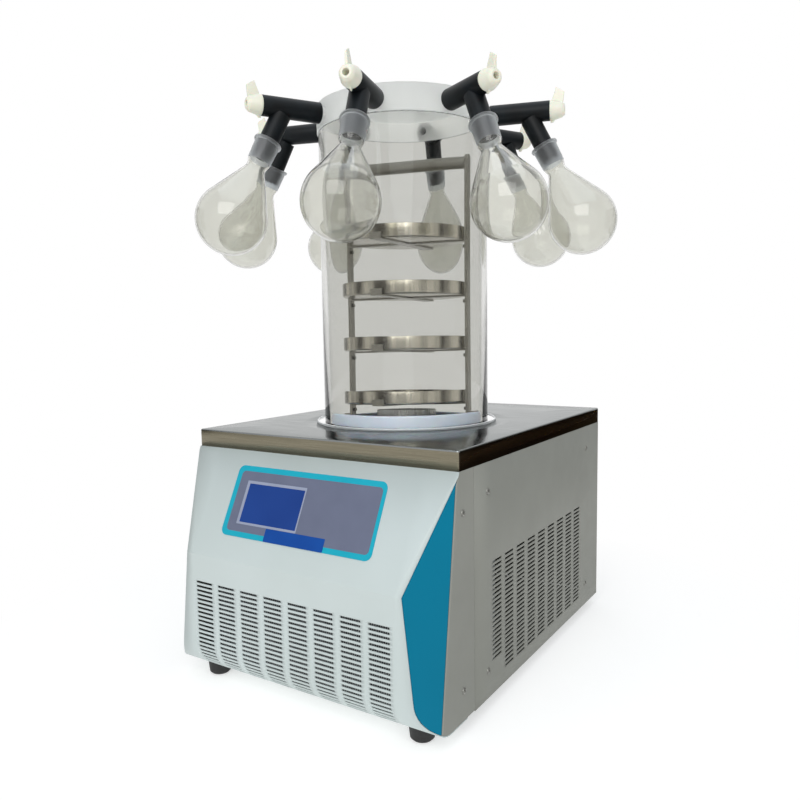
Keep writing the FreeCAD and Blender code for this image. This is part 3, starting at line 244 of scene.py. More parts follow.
def merge(*meshes):
    """Several (verts, faces) as one."""
    verts, faces = [], []
    for some, theirs in meshes:
        start = len(verts)
        verts += [Vector(v) for v in some]
        faces += [[index + start for index in face] for face in theirs]
    return verts, faces


def moved(mesh, matrix):
    """The same (verts, faces), placed by a matrix."""
    verts, faces = mesh
    return [matrix @ Vector(v) for v in verts], faces


def block_faces(count):
    """Two caps and the sides between them, for two loops of count points."""
    faces = [list(range(count))[::-1], list(range(count, 2 * count))]
    faces += [[i, (i + 1) % count, count + (i + 1) % count, count + i] for i in range(count)]
    return faces


def prism(outline, low, high):
    """Upright prism over a flat outline of (x, y) points."""
    verts = [(p[0], p[1], z) for z in (low, high) for p in outline]
    return verts, block_faces(len(outline))


def slotted(point, across, along, columns, rows, is_open, corner=0.0008):
    """Sheet with rounded slots: point(u, v) places it, across and along are its plain lines.

    columns and rows are the slots' own (start, end) spans.
    """
    def cells(spans):
        middles = [(a[1] + b[0]) / 2 for a, b in zip(spans, spans[1:])]
        margin = middles[0] - spans[0][1]
        return [spans[0][0] - margin, *middles, spans[-1][1] + margin]

    u_cells, v_cells = cells(columns), cells(rows)
    u_lines = sorted(set([u for u in across if not u_cells[0] < u < u_cells[-1]] + u_cells
                         + [(a + b) / 2 for a, b in columns]))
    v_lines = sorted(set([v for v in along if not v_cells[0] < v < v_cells[-1]] + v_cells))
    verts, index = [], {}

    def vertex(u, v):
        key = (round(u, 7), round(v, 7))
        if key not in index:
            index[key] = len(verts)
            verts.append(point(u, v))
        return index[key]

    faces = []
    for v0, v1 in zip(v_lines, v_lines[1:]):
        for u0, u1 in zip(u_lines, u_lines[1:]):
            if v_cells[0] <= v0 < v_cells[-1] and u_cells[0] <= u0 < u_cells[-1]:
                continue
            faces.append([vertex(u0, v0), vertex(u1, v0), vertex(u1, v1), vertex(u0, v1)])
    for row, (v0, v1) in enumerate(zip(v_cells, v_cells[1:])):
        for column, (u0, u1) in enumerate(zip(u_cells, u_cells[1:])):
            middle = sum(columns[column]) / 2
            if not is_open(column, row):
                faces += [[vertex(a, v0), vertex(b, v0), vertex(b, v1), vertex(a, v1)]
                          for a, b in ((u0, middle), (middle, u1))]
                continue
            (a, b), (c, d) = columns[column], rows[row]
            hole = fillet([(a, c, corner), (b, c, corner), (b, d, corner), (a, d, corner)], steps=3)
            left = sorted([p for p in hole if p.x < middle], key=lambda p: math.atan2(
                p.y - (c + d) / 2, p.x - middle) % (2 * math.pi), reverse=True)
            right = sorted([p for p in hole if p.x > middle], key=lambda p: math.atan2(
                p.y - (c + d) / 2, p.x - middle))
            faces.append([vertex(u0, v0), vertex(middle, v0), vertex(middle, c)]
                         + [vertex(p.x, p.y) for p in left]
                         + [vertex(middle, d), vertex(middle, v1), vertex(u0, v1)])
            faces.append([vertex(u1, v0), vertex(u1, v1), vertex(middle, v1), vertex(middle, d)]
                         + [vertex(p.x, p.y) for p in reversed(right)]
                         + [vertex(middle, c), vertex(middle, v0)])
    return verts, faces


# ---------------------------------------------------------------- materials
def shader(name, color, roughness, metallic=0.0, **sockets):
    """Principled material; extra sockets are given by name with _ for a space."""
    material = bpy.data.materials.new(name)
    material.use_nodes = True
    tree = material.node_tree
    surface = tree.nodes["Principled BSDF"]
    surface.inputs["Base Color"].default_value = (*linear(color), 1)
    surface.inputs["Roughness"].default_value = roughness
    surface.inputs["Metallic"].default_value = metallic
    for socket, value in sockets.items():
        surface.inputs[socket.replace("_", " ")].default_value = value
    return material, tree, surface


def linear(color):
    """sRGB hex text to linear red, green and blue."""
    parts = [int(color[i:i + 2], 16) / 255 for i in (1, 3, 5)]
    return [c / 12.92 if c <= 0.04045 else ((c + 0.055) / 1.055) ** 2.4 for c in parts]


def texture(tree, scale, detail=3, stretch=(1, 1, 1)):
    """Noise over the piece's own place, stretched along an axis by a small factor."""
    place = tree.nodes.new("ShaderNodeTexCoord")
    mapping = tree.nodes.new("ShaderNodeMapping")
    mapping.inputs["Scale"].default_value = stretch
    noise = tree.nodes.new("ShaderNodeTexNoise")
    noise.inputs["Scale"].default_value = scale
    noise.inputs["Detail"].default_value = detail
    tree.links.new(place.outputs["Object"], mapping.inputs["Vector"])
    tree.links.new(mapping.outputs["Vector"], noise.inputs["Vector"])
    return noise.outputs["Fac"]


def ramp(tree, factor, low, high, start=0.3, end=0.7):
    """Colour or grey ramp between two sRGB hex colours or two numbers."""
    node = tree.nodes.new("ShaderNodeValToRGB")
    ends = [linear(c) if isinstance(c, str) else [c] * 3 for c in (low, high)]
    node.color_ramp.elements[0].position, node.color_ramp.elements[1].position = start, end
    for element, color in zip(node.color_ramp.elements, ends):
        element.color = (*color, 1)
    tree.links.new(factor, node.inputs["Fac"])
    return node.outputs["Color"]


def bump(tree, surface, height, strength, distance=0.0005):
    """Let a height texture tilt the surface's normal."""
    node = tree.nodes.new("ShaderNodeBump")
    node.inputs["Strength"].default_value = strength
    node.inputs["Distance"].default_value = distance
    tree.links.new(height, node.inputs["Height"])
    tree.links.new(node.outputs["Normal"], surface.inputs["Normal"])


def paint(name, low, high, roughness=0.45, grain=900, strength=0.06, **sockets):
    """Powder-coated sheet: slight orange peel and a faint drift in colour."""
    material, tree, surface = shader(name, low, roughness, **sockets)
    tree.links.new(ramp(tree, texture(tree, 6, 2), low, high), surface.inputs["Base Color"])
    tree.links.new(ramp(tree, texture(tree, 40, 4), roughness - 0.05, roughness + 0.05),
                   surface.inputs["Roughness"])
    bump(tree, surface, texture(tree, grain, 2), strength)
    return material


def steel(name, low, high, roughness=0.3, stretch=(0.02, 1, 1), grain=900, strength=0.08,
          **sockets):
    """Brushed steel: fine lines along the axis that is stretched least."""
    material, tree, surface = shader(name, low, roughness, 1.0, **sockets)
    lines = texture(tree, grain, 4, stretch)
    tree.links.new(ramp(tree, lines, low, high), surface.inputs["Base Color"])
    tree.links.new(ramp(tree, lines, roughness - 0.06, roughness + 0.08),
                   surface.inputs["Roughness"])
    bump(tree, surface, lines, strength, 0.0002)
    return material


def plastic(name, low, high, roughness=0.4, grain=500, strength=0.08, **sockets):
    """Moulded plastic, rubber or film: a faint mottle in colour and a fine grain."""
    material, tree, surface = shader(name, low, roughness, **sockets)
    tree.links.new(ramp(tree, texture(tree, 30, 4), low, high), surface.inputs["Base Color"])
    bump(tree, surface, texture(tree, grain, 3), strength)
    return material


def glass(name, color, roughness=0.0, ior=1.47, shade=0.9, rim=None, **sockets):
    """Clear wall that lets the lamps' light through; where it turns away its colour runs into the
    rim colour, a painted dark outline.
    """
    sockets = {"Transmission_Weight": 1.0, "IOR": ior, **sockets}
    material, tree, surface = shader(name, color, roughness, **sockets)
    # Painted shade: towards the silhouette the colour runs into the darker rim colour
    if rim:
        facing = tree.nodes.new("ShaderNodeLayerWeight")
        facing.inputs["Blend"].default_value = 0.5
        tree.links.new(ramp(tree, facing.outputs["Facing"], color, rim, PAINTED_OUTLINE_START, PAINTED_OUTLINE_FULL),
                       surface.inputs["Base Color"])
    path = tree.nodes.new("ShaderNodeLightPath")
    clear = tree.nodes.new("ShaderNodeBsdfTransparent")
    clear.inputs["Color"].default_value = (shade, shade, shade, 1)
    mix = tree.nodes.new("ShaderNodeMixShader")
    tree.links.new(path.outputs["Is Shadow Ray"], mix.inputs["Fac"])
    tree.links.new(surface.outputs["BSDF"], mix.inputs[1])
    tree.links.new(clear.outputs["BSDF"], mix.inputs[2])
    tree.links.new(mix.outputs["Shader"], tree.nodes["Material Output"].inputs["Surface"])
    return material


WHITE_PAINT = paint("front_paint", "#c9d3d2", "#c3cdcb", Specular_IOR_Level=0.35)
# Darker than the front paint: partly the sides' own grey, partly painted shade on the sides
SIDE_PAINT_AND_SHADE = paint("side_paint_and_shade", "#93948d", "#8a8b84", 0.55, Specular_IOR_Level=0.2)
TEAL_PAINT = paint("teal_paint", "#007796", "#00718f", 0.5, strength=0.03, Specular_IOR_Level=0.1)
WORKTOP = steel("worktop_steel", "#8b8e8e", "#818484", 0.18, (0.02, 1, 1), 900, 0.03,
                Specular_Tint=(0.8, 0.81, 0.81, 1))
RIM_STEEL = steel("rim_steel", "#888270", "#7c7665", 0.3, (0.02, 0.02, 1), 900, 0.05)
# Darker copy of the rim steel for the worktop's side edges: painted shade, with its reflections
# dimmed too
RIM_PAINTED_SHADE = steel("rim_painted_shade", "#37312a", "#2e2923", 0.34, (0.02, 0.02, 1), 900, 0.05,
                  Specular_Tint=(0.3, 0.28, 0.25, 1))
RACK_STEEL = steel("rack_steel", "#8f8d85", "#88867e", 0.3, (1, 1, 0.3), 1800, 0.01)
TRAP_STEEL = steel("trap_steel", "#c4c4c0", "#b0b0ac", 0.3, (1, 1, 0.05), 400)
SCREW_STEEL = steel("screw_steel", "#8f8f8a", "#7b7b76", 0.4, (1, 1, 1), 900)
GALVANISED = steel("galvanised", "#8f9395", "#7f8385", 0.5, (1, 1, 1), 60)
RUBBER = plastic("black_rubber", "#0a0c0d", "#11171b", 0.42, 350, 0.12, Specular_IOR_Level=0.16)
FOOT_RUBBER = plastic("foot_rubber", "#1a1a1a", "#222222", 0.6, 350, 0.12)
IVORY = plastic("ivory_plastic", "#e8e7d8", "#e0dfcd", 0.32, 300, 0.03, Subsurface_Weight=0.2,
                Subsurface_Scale=0.004)
RING_WHITE = plastic("ring_plastic", "#dfeafc", "#d9e5fa", 0.38, 200, 0.04,
                     Subsurface_Weight=0.2, Subsurface_Scale=0.006)
BLACK_PLASTIC = plastic("black_plastic", "#1b1b1c", "#222224", 0.45, 600, 0.15)
BOARD = plastic("board_green", "#1c5a36", "#256a40", 0.45, 400, 0.1)
FOAM = plastic("foam", "#d8cfae", "#c9bf9c", 0.9, 250, 0.5)
COMPRESSOR_BLACK = plastic("compressor_black", "#17181a", "#202224", 0.35, 700, 0.2)
FILM_TEAL = plastic("film_teal", "#1fa9bf", "#1ba3ba", 0.5, 900, 0.04, Specular_IOR_Level=0.15)
FILM_GREY = plastic("film_grey", "#6b7186", "#666c81", 0.5, 900, 0.05, Specular_IOR_Level=0.2)
FILM_BLUE = plastic("film_blue", "#124b9c", "#104594", 0.5, 900, 0.04, Specular_IOR_Level=0.15)
BEZEL = plastic("bezel_silver", "#9aa1b6", "#9199ae", 0.4, 400, 0.04, Specular_IOR_Level=0.3)
# Each rim colour below is a painted dark outline at the clear wall's silhouette
ACRYLIC = glass("acrylic", "#dededb", ior=1.22, shade=0.95, rim="#aeb0ad")
DRUM_ACRYLIC = glass("drum_acrylic", "#dcdddb", roughness=0.6, ior=1.12, shade=0.95,
                     rim="#cfd1cf", Transmission_Weight=0.7)
FLASK_GLASS = glass("flask_glass", "#e6e6e1", ior=1.38, shade=0.93, rim="#3c403c",
                    Transmission_Weight=0.97)
GROUND_GLASS = glass("ground_glass", "#d0d4d6", roughness=0.45, shade=0.8, rim="#a9aeb0")
SEAL_CLEAR = glass("seal_silicone", "#f4f7f8", roughness=0.05, ior=1.06, shade=0.95,
                   rim="#dfe5e7")
SEAL_LIP = glass("seal_lip", "#f3f6f7", roughness=0.3, ior=1.25, shade=0.9, rim="#e3e8ea",
                 Transmission_Weight=0.6)


def screen_material():
    """Blue display under glass: a plain field with a faint mottle in its colour and glow."""
    material, tree, surface = shader("screen_blue", "#1c3a7c", 0.35, Specular_IOR_Level=0.1)
    tree.links.new(ramp(tree, texture(tree, 12, 1), "#1a3778", "#204084"),
                   surface.inputs["Base Color"])
    tree.links.new(ramp(tree, texture(tree, 12, 1), "#1a3778", "#204084"),
                   surface.inputs["Emission Color"])
    surface.inputs["Emission Strength"].default_value = 0.15
    return material


def tray_material():
    """Steel with painted reflections: light and dark bands round the upright wall stand in for what
    a turned wall mirrors; flat faces take a faint mottle.
    """
    material, tree, surface = shader("tray_steel", "#c4bfb2", 0.22, 1.0)
    place = tree.nodes.new("ShaderNodeTexCoord")
    level = tree.nodes.new("ShaderNodeVectorMath")
    level.operation = "MULTIPLY"
    level.inputs[1].default_value = (1, 1, 0)
    around = tree.nodes.new("ShaderNodeVectorMath")
    around.operation = "NORMALIZE"
    painted_reflection_bands = tree.nodes.new("ShaderNodeTexNoise")
    painted_reflection_bands.inputs["Scale"].default_value = 3.2
    painted_reflection_bands.inputs["Detail"].default_value = 3
    tree.links.new(place.outputs["Object"], level.inputs[0])
    tree.links.new(level.outputs[0], around.inputs[0])
    tree.links.new(around.outputs[0], painted_reflection_bands.inputs["Vector"])
    upright = tree.nodes.new("ShaderNodeSeparateXYZ")
    flat = tree.nodes.new("ShaderNodeMath")
    flat.operation = "ABSOLUTE"
    blend = tree.nodes.new("ShaderNodeMix")
    blend.data_type = "RGBA"
    tree.links.new(place.outputs["Normal"], upright.inputs[0])
    tree.links.new(upright.outputs["Z"], flat.inputs[0])
    tree.links.new(flat.outputs[0], blend.inputs["Factor"])
    # Painted reflection: bands by direction round the axis, on the upright wall only
    tree.links.new(ramp(tree, painted_reflection_bands.outputs["Fac"], "#56534c", "#d0cbbe", 0.41, 0.6),
                   blend.inputs[MIX_FIRST])
    tree.links.new(ramp(tree, texture(tree, 300, 3), "#aaa69b", "#b6b2a7"),
                   blend.inputs[MIX_SECOND])
    tree.links.new(blend.outputs[MIX_RESULT], surface.inputs["Base Color"])
    bump(tree, surface, texture(tree, 900, 3, (1, 1, 0.05)), 0.03, 0.0002)
    return material


def fin_material():
    """Condenser core: close upright aluminium fins, drawn as stripes whose dark lines are painted
    shade in the gaps between the fins.
    """
    material, tree, surface = shader("fin_aluminium", "#8d9092", 0.4, 0.9)
    place = tree.nodes.new("ShaderNodeTexCoord")
    wave = tree.nodes.new("ShaderNodeTexWave")
    wave.inputs["Scale"].default_value = 90
    tree.links.new(place.outputs["Object"], wave.inputs["Vector"])
    # Dark end of the stripes: painted shade between the fins; light end: the fins' own aluminium
    tree.links.new(ramp(tree, wave.outputs["Fac"], "#2b2c2d", "#a8abad"),
                   surface.inputs["Base Color"])
    bump(tree, surface, wave.outputs["Fac"], 0.6, 0.001)
    return material


SCREEN = screen_material()
FINS = fin_material()
TRAY_STEEL_PAINTED_REFLECTIONS = tray_material()


# ---------------------------------------------------------------- places read from the frame
PANEL_LOW, PANEL_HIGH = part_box("front_panel")
PLATE_LOW, PLATE_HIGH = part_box("top_plate")
SIDE_LOW, SIDE_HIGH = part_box("right_side_panel")
HALF = PLATE_HIGH.x
BODY_TOP = PANEL_HIGH.z
CREASE = BODY_TOP - SLOPE_FALL
SLOPE_LEAN = math.atan2(PLATE_LOW.y - PANEL_LOW.y, SLOPE_FALL)
SLOPE = Matrix(((1, 0, 0, 0),
                (0, math.sin(SLOPE_LEAN), -math.cos(SLOPE_LEAN), PLATE_LOW.y),
                (0, math.cos(SLOPE_LEAN), math.sin(SLOPE_LEAN), BODY_TOP),
                (0, 0, 0, 1)))
ARMS = [JOINTS[f"valve_{number}_turn"] for number in range(1, 9)]
VALVE_END = Vector(ARMS[0]["pos_m"]).xy.length
SLEEVE_END = VALVE_END + VALVE_REACH
PORT_HEIGHT = ARMS[0]["pos_m"][2]
X_AXIS = Matrix.Rotation(math.radians(90), 4, "Y")


def arm(joint):
    """From a frame with X out along the port, its origin on the chamber's axis."""
    turn = math.atan2(joint["axis"][1], joint["axis"][0])
    return Matrix.Translation((0, 0, PORT_HEIGHT)) @ Matrix.Rotation(turn, 4, "Z")


def branch(distance):
    """Place along a branch in its arm's frame, with -Z running down the branch."""
    start = VALVE_END - BRANCH_BACK
    place = (start + distance * math.sin(BRANCH_TILT), 0, -distance * math.cos(BRANCH_TILT))
    return Matrix.Translation(place) @ Matrix.Rotation(-BRANCH_TILT, 4, "Y")


# ---------------------------------------------------------------- covers
def trimmed(mesh, cuts):
    """What is left of an open sheet behind each (point, normal) plane."""
    bm = bmesh.new()
    verts = [bm.verts.new(v) for v in mesh[0]]
    for face in mesh[1]:
        bm.faces.new([verts[i] for i in face])
    for point, normal in cuts:
        bmesh.ops.bisect_plane(bm, geom=bm.verts[:] + bm.edges[:] + bm.faces[:], dist=1e-7,
                               plane_co=point, plane_no=normal, clear_outer=True)
    bm.verts.index_update()
    rest = [v.co.copy() for v in bm.verts], [[v.index for v in face.verts] for face in bm.faces]
    bm.free()
    return rest


def measured(path):
    """Running lengths of a path, and a function from a length to its point."""
    lengths = [0.0]
    for here, there in zip(path, path[1:]):
        lengths.append(lengths[-1] + (there - here).length)

    def at(length):
        index = min(max(bisect.bisect_right(lengths, length) - 1, 0), len(path) - 2)
        share = (length - lengths[index]) / (lengths[index + 1] - lengths[index])
        return path[index].lerp(path[index + 1], share)
    return lengths, at


def cheek_plane(side):
    """Face of a corner cheek as (point, outward normal); side is 1 or -1."""
    across = math.cos(CHEEK_LEAN) * math.cos(CHEEK_TURN)
    normal = (side * across, -math.cos(CHEEK_LEAN) * math.sin(CHEEK_TURN), math.sin(CHEEK_LEAN))
    return Vector((side * HALF, PLATE_LOW.y - CHEEK_INSET, BODY_TOP)), Vector(normal)


def make_front_cover():
    """Folded front sheet: slope, upright face and curl, punched with rows of slots."""
    foot = PANEL_LOW.z
    path = fillet([(PLATE_LOW.y, BODY_TOP, 0), (PANEL_LOW.y, CREASE, 0.003),
                   (PANEL_LOW.y, foot, CURL_RADIUS), (PANEL_HIGH.y, foot, 0)], False, 20)
    lengths, at = measured(path)
    top = math.hypot(PANEL_LOW.y - PLATE_LOW.y, SLOPE_FALL) + SLOT_DROP
    rows = [(top + k * SLOT_PITCH, top + k * SLOT_PITCH + SLOT_HEIGHT) for k in range(SLOT_ROWS)]
    start = -HALF + SLOT_MARGIN
    pitch = (-2 * start - SLOT_WIDTH) / (SLOT_COLUMNS - 1)
    columns = [(start + k * pitch, start + k * pitch + SLOT_WIDTH) for k in range(SLOT_COLUMNS)]
    sheet = slotted(lambda u, v: Vector((u, *at(v))), [-HALF, HALF], lengths, columns, rows,
                    lambda column, row: True)
    sheet = trimmed(sheet, [cheek_plane(1), cheek_plane(-1)])
    piece("front_cover", *sheet, WHITE_PAINT, "cabinet", "painted_steel", ["front_panel"],
          sheet=PANEL_SHEET, outward=(0, -1, 0.3))


def make_side_sheets():
    """Side sheets with their columns of vents and the folded return at the rear."""
    columns = [(VENT_START + k * VENT_PITCH, VENT_START + k * VENT_PITCH + VENT_WIDTH)
               for k in range(VENT_COLUMNS)]
    high = SIDE_HIGH.z - VENT_DROP
    rows = [(high - k * SLOT_PITCH - SLOT_HEIGHT, high - k * SLOT_PITCH)
            for k in reversed(range(VENT_ROWS))]
    missing = VENT_ROWS - VENT_SHORT_ROWS
    for side, name in ((1, "right"), (-1, "left")):
        path = fillet([(side * SIDE_HIGH.x, SIDE_LOW.y, 0),
                       (side * SIDE_HIGH.x, SIDE_HIGH.y, 0.002),
                       (side * SIDE_LOW.x, SIDE_HIGH.y, 0)], False, 4)
        lengths, at = measured(path)
        sheet = slotted(lambda u, v, at=at: Vector((*at(u), v)), lengths,
                        [SIDE_LOW.z, SIDE_HIGH.z], columns, rows,
                        lambda column, row: column > 0 or row >= missing)
        piece(f"{name}_side_sheet", *sheet, SIDE_PAINT_AND_SHADE, "cabinet", "side_grey",
              [f"{name}_side_panel"], sheet=PANEL_SHEET, outward=(side, 0, 0))


def border(inset, height, corner=0.0035, steps=5, parts=14):
    """Loop round the worktop, as many points for every inset."""
    low = (PLATE_LOW.x + corner, PLATE_LOW.y + corner)
    high = (PLATE_HIGH.x - corner, PLATE_HIGH.y - corner)
    centres = [(high[0], low[1], -90), (high[0], high[1], 0), (low[0], high[1], 90),
               (low[0], low[1], 180)]
    arcs = []
    for x, y, start in centres:
        turns = [math.radians(start + 90 * step / steps) for step in range(steps + 1)]
        arcs.append([Vector((x + (corner - inset) * math.cos(t), y + (corner - inset) * math.sin(t),
                             height)) for t in turns])
    loop = []
    for arc, after in zip(arcs, arcs[1:] + arcs[:1]):
        loop += arc
        loop += [arc[-1].lerp(after[0], step / parts) for step in range(1, parts)]
    return loop


def loft(loops):
    """Surface through loops of the same count."""
    count = len(loops[0])
    verts = [point for loop in loops for point in loop]
    faces = [[low * count + i, low * count + (i + 1) % count,
              (low + 1) * count + (i + 1) % count, (low + 1) * count + i]
             for low in range(len(loops) - 1) for i in range(count)]
    return verts, faces


def make_worktop():
    """Pressed worktop with softly bent edges and a round opening over the trap."""
    top, bend = PLATE_HIGH.z, WORKTOP_BEND
    rim = border(bend, top)

    def ring(radius):
        return [Vector((p.x, p.y, 0)).normalized() * radius + Vector((0, 0, top)) for p in rim]

    edge = [border(bend * (1 - math.sin(t)), top - bend * (1 - math.cos(t)))
            for t in (math.radians(step * 18) for step in range(6))]
    loops = [*map(ring, (PLATE_HOLE, *WORKTOP_RINGS)), *edge, border(0, PLATE_LOW.z)]
    sheet = piece("worktop", *loft(loops), [WORKTOP, RIM_STEEL, RIM_PAINTED_SHADE], "cabinet",
                  "brushed_steel", ["top_plate"], sheet=PANEL_SHEET, outward=(0, 0, 1))
    # Faces turned to either side take the darker rim copy, painted shade; the rest of the bend
    # takes the rim steel
    for polygon in sheet.data.polygons:
        if polygon.center.z < top - bend:
            polygon.material_index = 2 if abs(polygon.normal.x) > 0.8 else 1


def make_screws():
    """Domed heads with a cross recess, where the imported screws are."""
    low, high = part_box("panel_screws")
    profile = [(SCREW_DOME * math.sin(math.radians(a)), a) for a in range(0, 91, 15)]
    rings = [(SCREW_HEAD * math.cos(math.radians(a)), rise) for rise, a in profile]
    dome = lathe([(SCREW_HEAD, -0.0006), *[(max(r, 0), z) for r, z in rings]], 48, closed=False)
    cut = []
    for point in dome[0]:
        x, y, z = point
        across = min(abs(x), abs(y)) < RECESS_HALF and max(abs(x), abs(y)) < RECESS_REACH
        cut.append(Vector((x, y, z - SCREW_RECESS if across else z)))
    heads = []
    for side in (1, -1):
        face = Matrix.Rotation(math.radians(90 * side), 4, "Y")
        for y, z in SCREW_PLACES:
            # Any angle will do, so long as the crosses don't all line up
            turn = Matrix.Rotation(y * 40 + z * 7, 4, "Z")
            place = Matrix.Translation((side * HALF, y, z))
            heads.append(moved((cut, dome[1]), place @ face @ turn))
    assert low.x < -HALF and high.x > HALF
    piece("screw_heads", *merge(*heads), SCREW_STEEL, "cabinet", "screw_steel", ["panel_screws"])


# ---------------------------------------------------------------- control panel
def on_slope(left, right, top, bottom, low, high, corner):
    """Rounded plate on the slope; top and bottom are measured down it."""
    shape = fillet([(left, -bottom, corner), (right, -bottom, corner), (right, -top, corner),
                    (left, -top, corner)], steps=8)
    return moved(prism(shape, low, high), SLOPE)


def make_control_panel():
    """Membrane with its border, grey field and blue strip, and the screen in its frame.

    The limits are left, right, top and bottom on the slope, the two faces, and the corner.
    """
    plates = (
        ("overlay_border", (-0.130, 0.130, 0.0225, 0.125, 0, 0.0006, 0.010), FILM_TEAL,
         "overlay_film", ["control_overlay"]),
        ("overlay_field", (-0.1215, 0.1245, 0.0305, 0.1175, 0.0005, 0.00075, 0.006), FILM_GREY,
         "overlay_film", []),
        ("overlay_strip", (-0.049, 0.054, 0.107, 0.125, 0.0006, 0.0009, 0.0015), FILM_BLUE,
         "overlay_film", []),
        ("screen_frame", (-0.106, 0.003, 0.044, 0.1067, 0.0006, 0.0009, 0.001), BEZEL,
         "overlay_film", []),
        ("screen", (-0.101, 0.001, 0.048, 0.1036, 0.0007, 0.00098, 0.0006), SCREEN,
         "screen_glass", ["touch_screen"]),
    )
    for name, limits, material, slot, nodes in plates:
        piece(name, *on_slope(*limits), material, "cabinet", slot, nodes, bevel=0.00012)


# ---------------------------------------------------------------- chamber
def turned(name, corners, material, slot, nodes, steps=4, segments=160):
    """Piece turned about the chamber's axis from rounded (radius, height, round) corners."""
    profile = [(p.x, p.y) for p in fillet(corners, steps=steps)]
    return piece(name, *lathe(profile, segments), material, "cabinet", slot, nodes)


def make_chamber():
    """Collar in the worktop's opening, the seal round it and the clear wall on the seal."""
    low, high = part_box("trap_ring")
    outer, inner, foot = high.x, TRAP_RADIUS + COLLAR_BORE, PLATE_HIGH.z
    neck = PLATE_HOLE - COLLAR_PLAY
    turned("base_ring", [
        (inner, low.z, 0), (neck, low.z, 0), (neck, foot, 0),
        (outer, foot, 0.0004), (outer, high.z, 0.003), (inner, high.z, 0.003)],
        RING_WHITE, "white_plastic", ["trap_ring"])
    low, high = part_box("chamber_seal")
    foot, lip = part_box("chamber_tube")[0].z, high.x - SEAL_LIP_WIDTH
    seal = turned("seal_ring", [
        (outer + SEAL_PLAY, low.z, 0), (high.x, low.z, 0.0004), (high.x, high.z, 0.001),
        (lip, high.z, 0.001), (lip, foot - 0.0001, 0), (outer + SEAL_PLAY, foot - 0.0001, 0)],
        [SEAL_CLEAR, SEAL_LIP], "clear_seal", ["chamber_seal"])
    for polygon in seal.data.polygons:
        polygon.material_index = int(polygon.center.xy.length > lip - 0.0001)
    low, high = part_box("chamber_tube")
    inner = high.x - TUBE_WALL
    turned("chamber_wall", [(inner, low.z, 0.0006), (high.x, low.z, 0.0006),
                            (high.x, high.z, 0.0006), (inner, high.z, 0.0006)],
           ACRYLIC, "acrylic", ["chamber_tube"], steps=2, segments=192)


def make_trays():
    """Four pans with an upright wall and a thickened edge."""
    for number in range(1, 5):
        low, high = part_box(f"tray_{number}")
        radius, sheet = high.x, TRAY_SHEET
        turned(f"tray_pan_{number}", [
            (0, low.z, 0), (radius, low.z, 0.003), (radius, high.z, 0.0005),
            (radius - TRAY_BEAD, high.z, 0.0005),
            (radius - TRAY_BEAD, high.z - TRAY_BEAD_HEIGHT, 0.0002),
            (radius - sheet, high.z - 0.0024, 0.0002), (radius - sheet, low.z + sheet, 0.002),
            (0, low.z + sheet, 0)], TRAY_STEEL_PAINTED_REFLECTIONS, "brushed_steel", [f"tray_{number}"])


# ---------------------------------------------------------------- flasks and valves
def flask_profile():
    """Outer and inner outlines of a flask, mouth at 0 and bulb below, as (radius, height)."""
    def side(bulb, throat):
        rise = BULB_DEPTH - THROAT_DEPTH
        reach = math.hypot(throat, rise)
        turn = math.atan2(rise, throat) - math.acos(bulb / reach)
        return [(bulb * math.cos(a), bulb * math.sin(a) - BULB_DEPTH)
                for a in (-math.pi / 2 + (turn + math.pi / 2) * k / 48 for k in range(49))]

    neck = fillet([(*side(BULB_RADIUS, THROAT_RADIUS)[-1], 0),
                   (THROAT_RADIUS, -THROAT_DEPTH, 0.012),
                   (MOUTH_RADIUS - JOINT_TAPER, -JOINT_LENGTH, 0.008),
                   (MOUTH_RADIUS, -BEAD_HEIGHT, 0.001),
                   (BEAD_RADIUS, -BEAD_HEIGHT, 0.002), (BEAD_RADIUS, 0, 0.0022),
                   (MOUTH_RADIUS - GLASS_WALL, 0, 0.0008),
                   (MOUTH_RADIUS - JOINT_TAPER - GLASS_WALL, -JOINT_LENGTH, 0.008),
                   (THROAT_RADIUS - GLASS_WALL, -THROAT_DEPTH, 0.012),
                   (*side(BULB_RADIUS - GLASS_WALL, THROAT_RADIUS - GLASS_WALL)[-1], 0)], False, 6)
    inner = side(BULB_RADIUS - GLASS_WALL, THROAT_RADIUS - GLASS_WALL)
    return side(BULB_RADIUS, THROAT_RADIUS) + [(p.x, p.y) for p in neck[1:-1]] + inner[::-1]


def make_flasks():
    """Pear-shaped flasks with a ground joint, one on each branch."""
    verts, faces = lathe(flask_profile(), 128, closed=False)
    ground = [sum(verts[i][2] for i in face) / len(face) > -JOINT_LENGTH - 0.001 for face in faces]
    for number, joint in enumerate(ARMS, start=1):
        place = arm(joint) @ branch(BRANCH_SHOULDER)
        glass_piece = piece(f"flask_{number}", verts, faces, [FLASK_GLASS, GROUND_GLASS], "cabinet",
                            "flask_glass", ["flasks"] if number == 1 else [], at=place)
        for polygon, rough in zip(glass_piece.data.polygons, ground):
            polygon.material_index = int(rough)


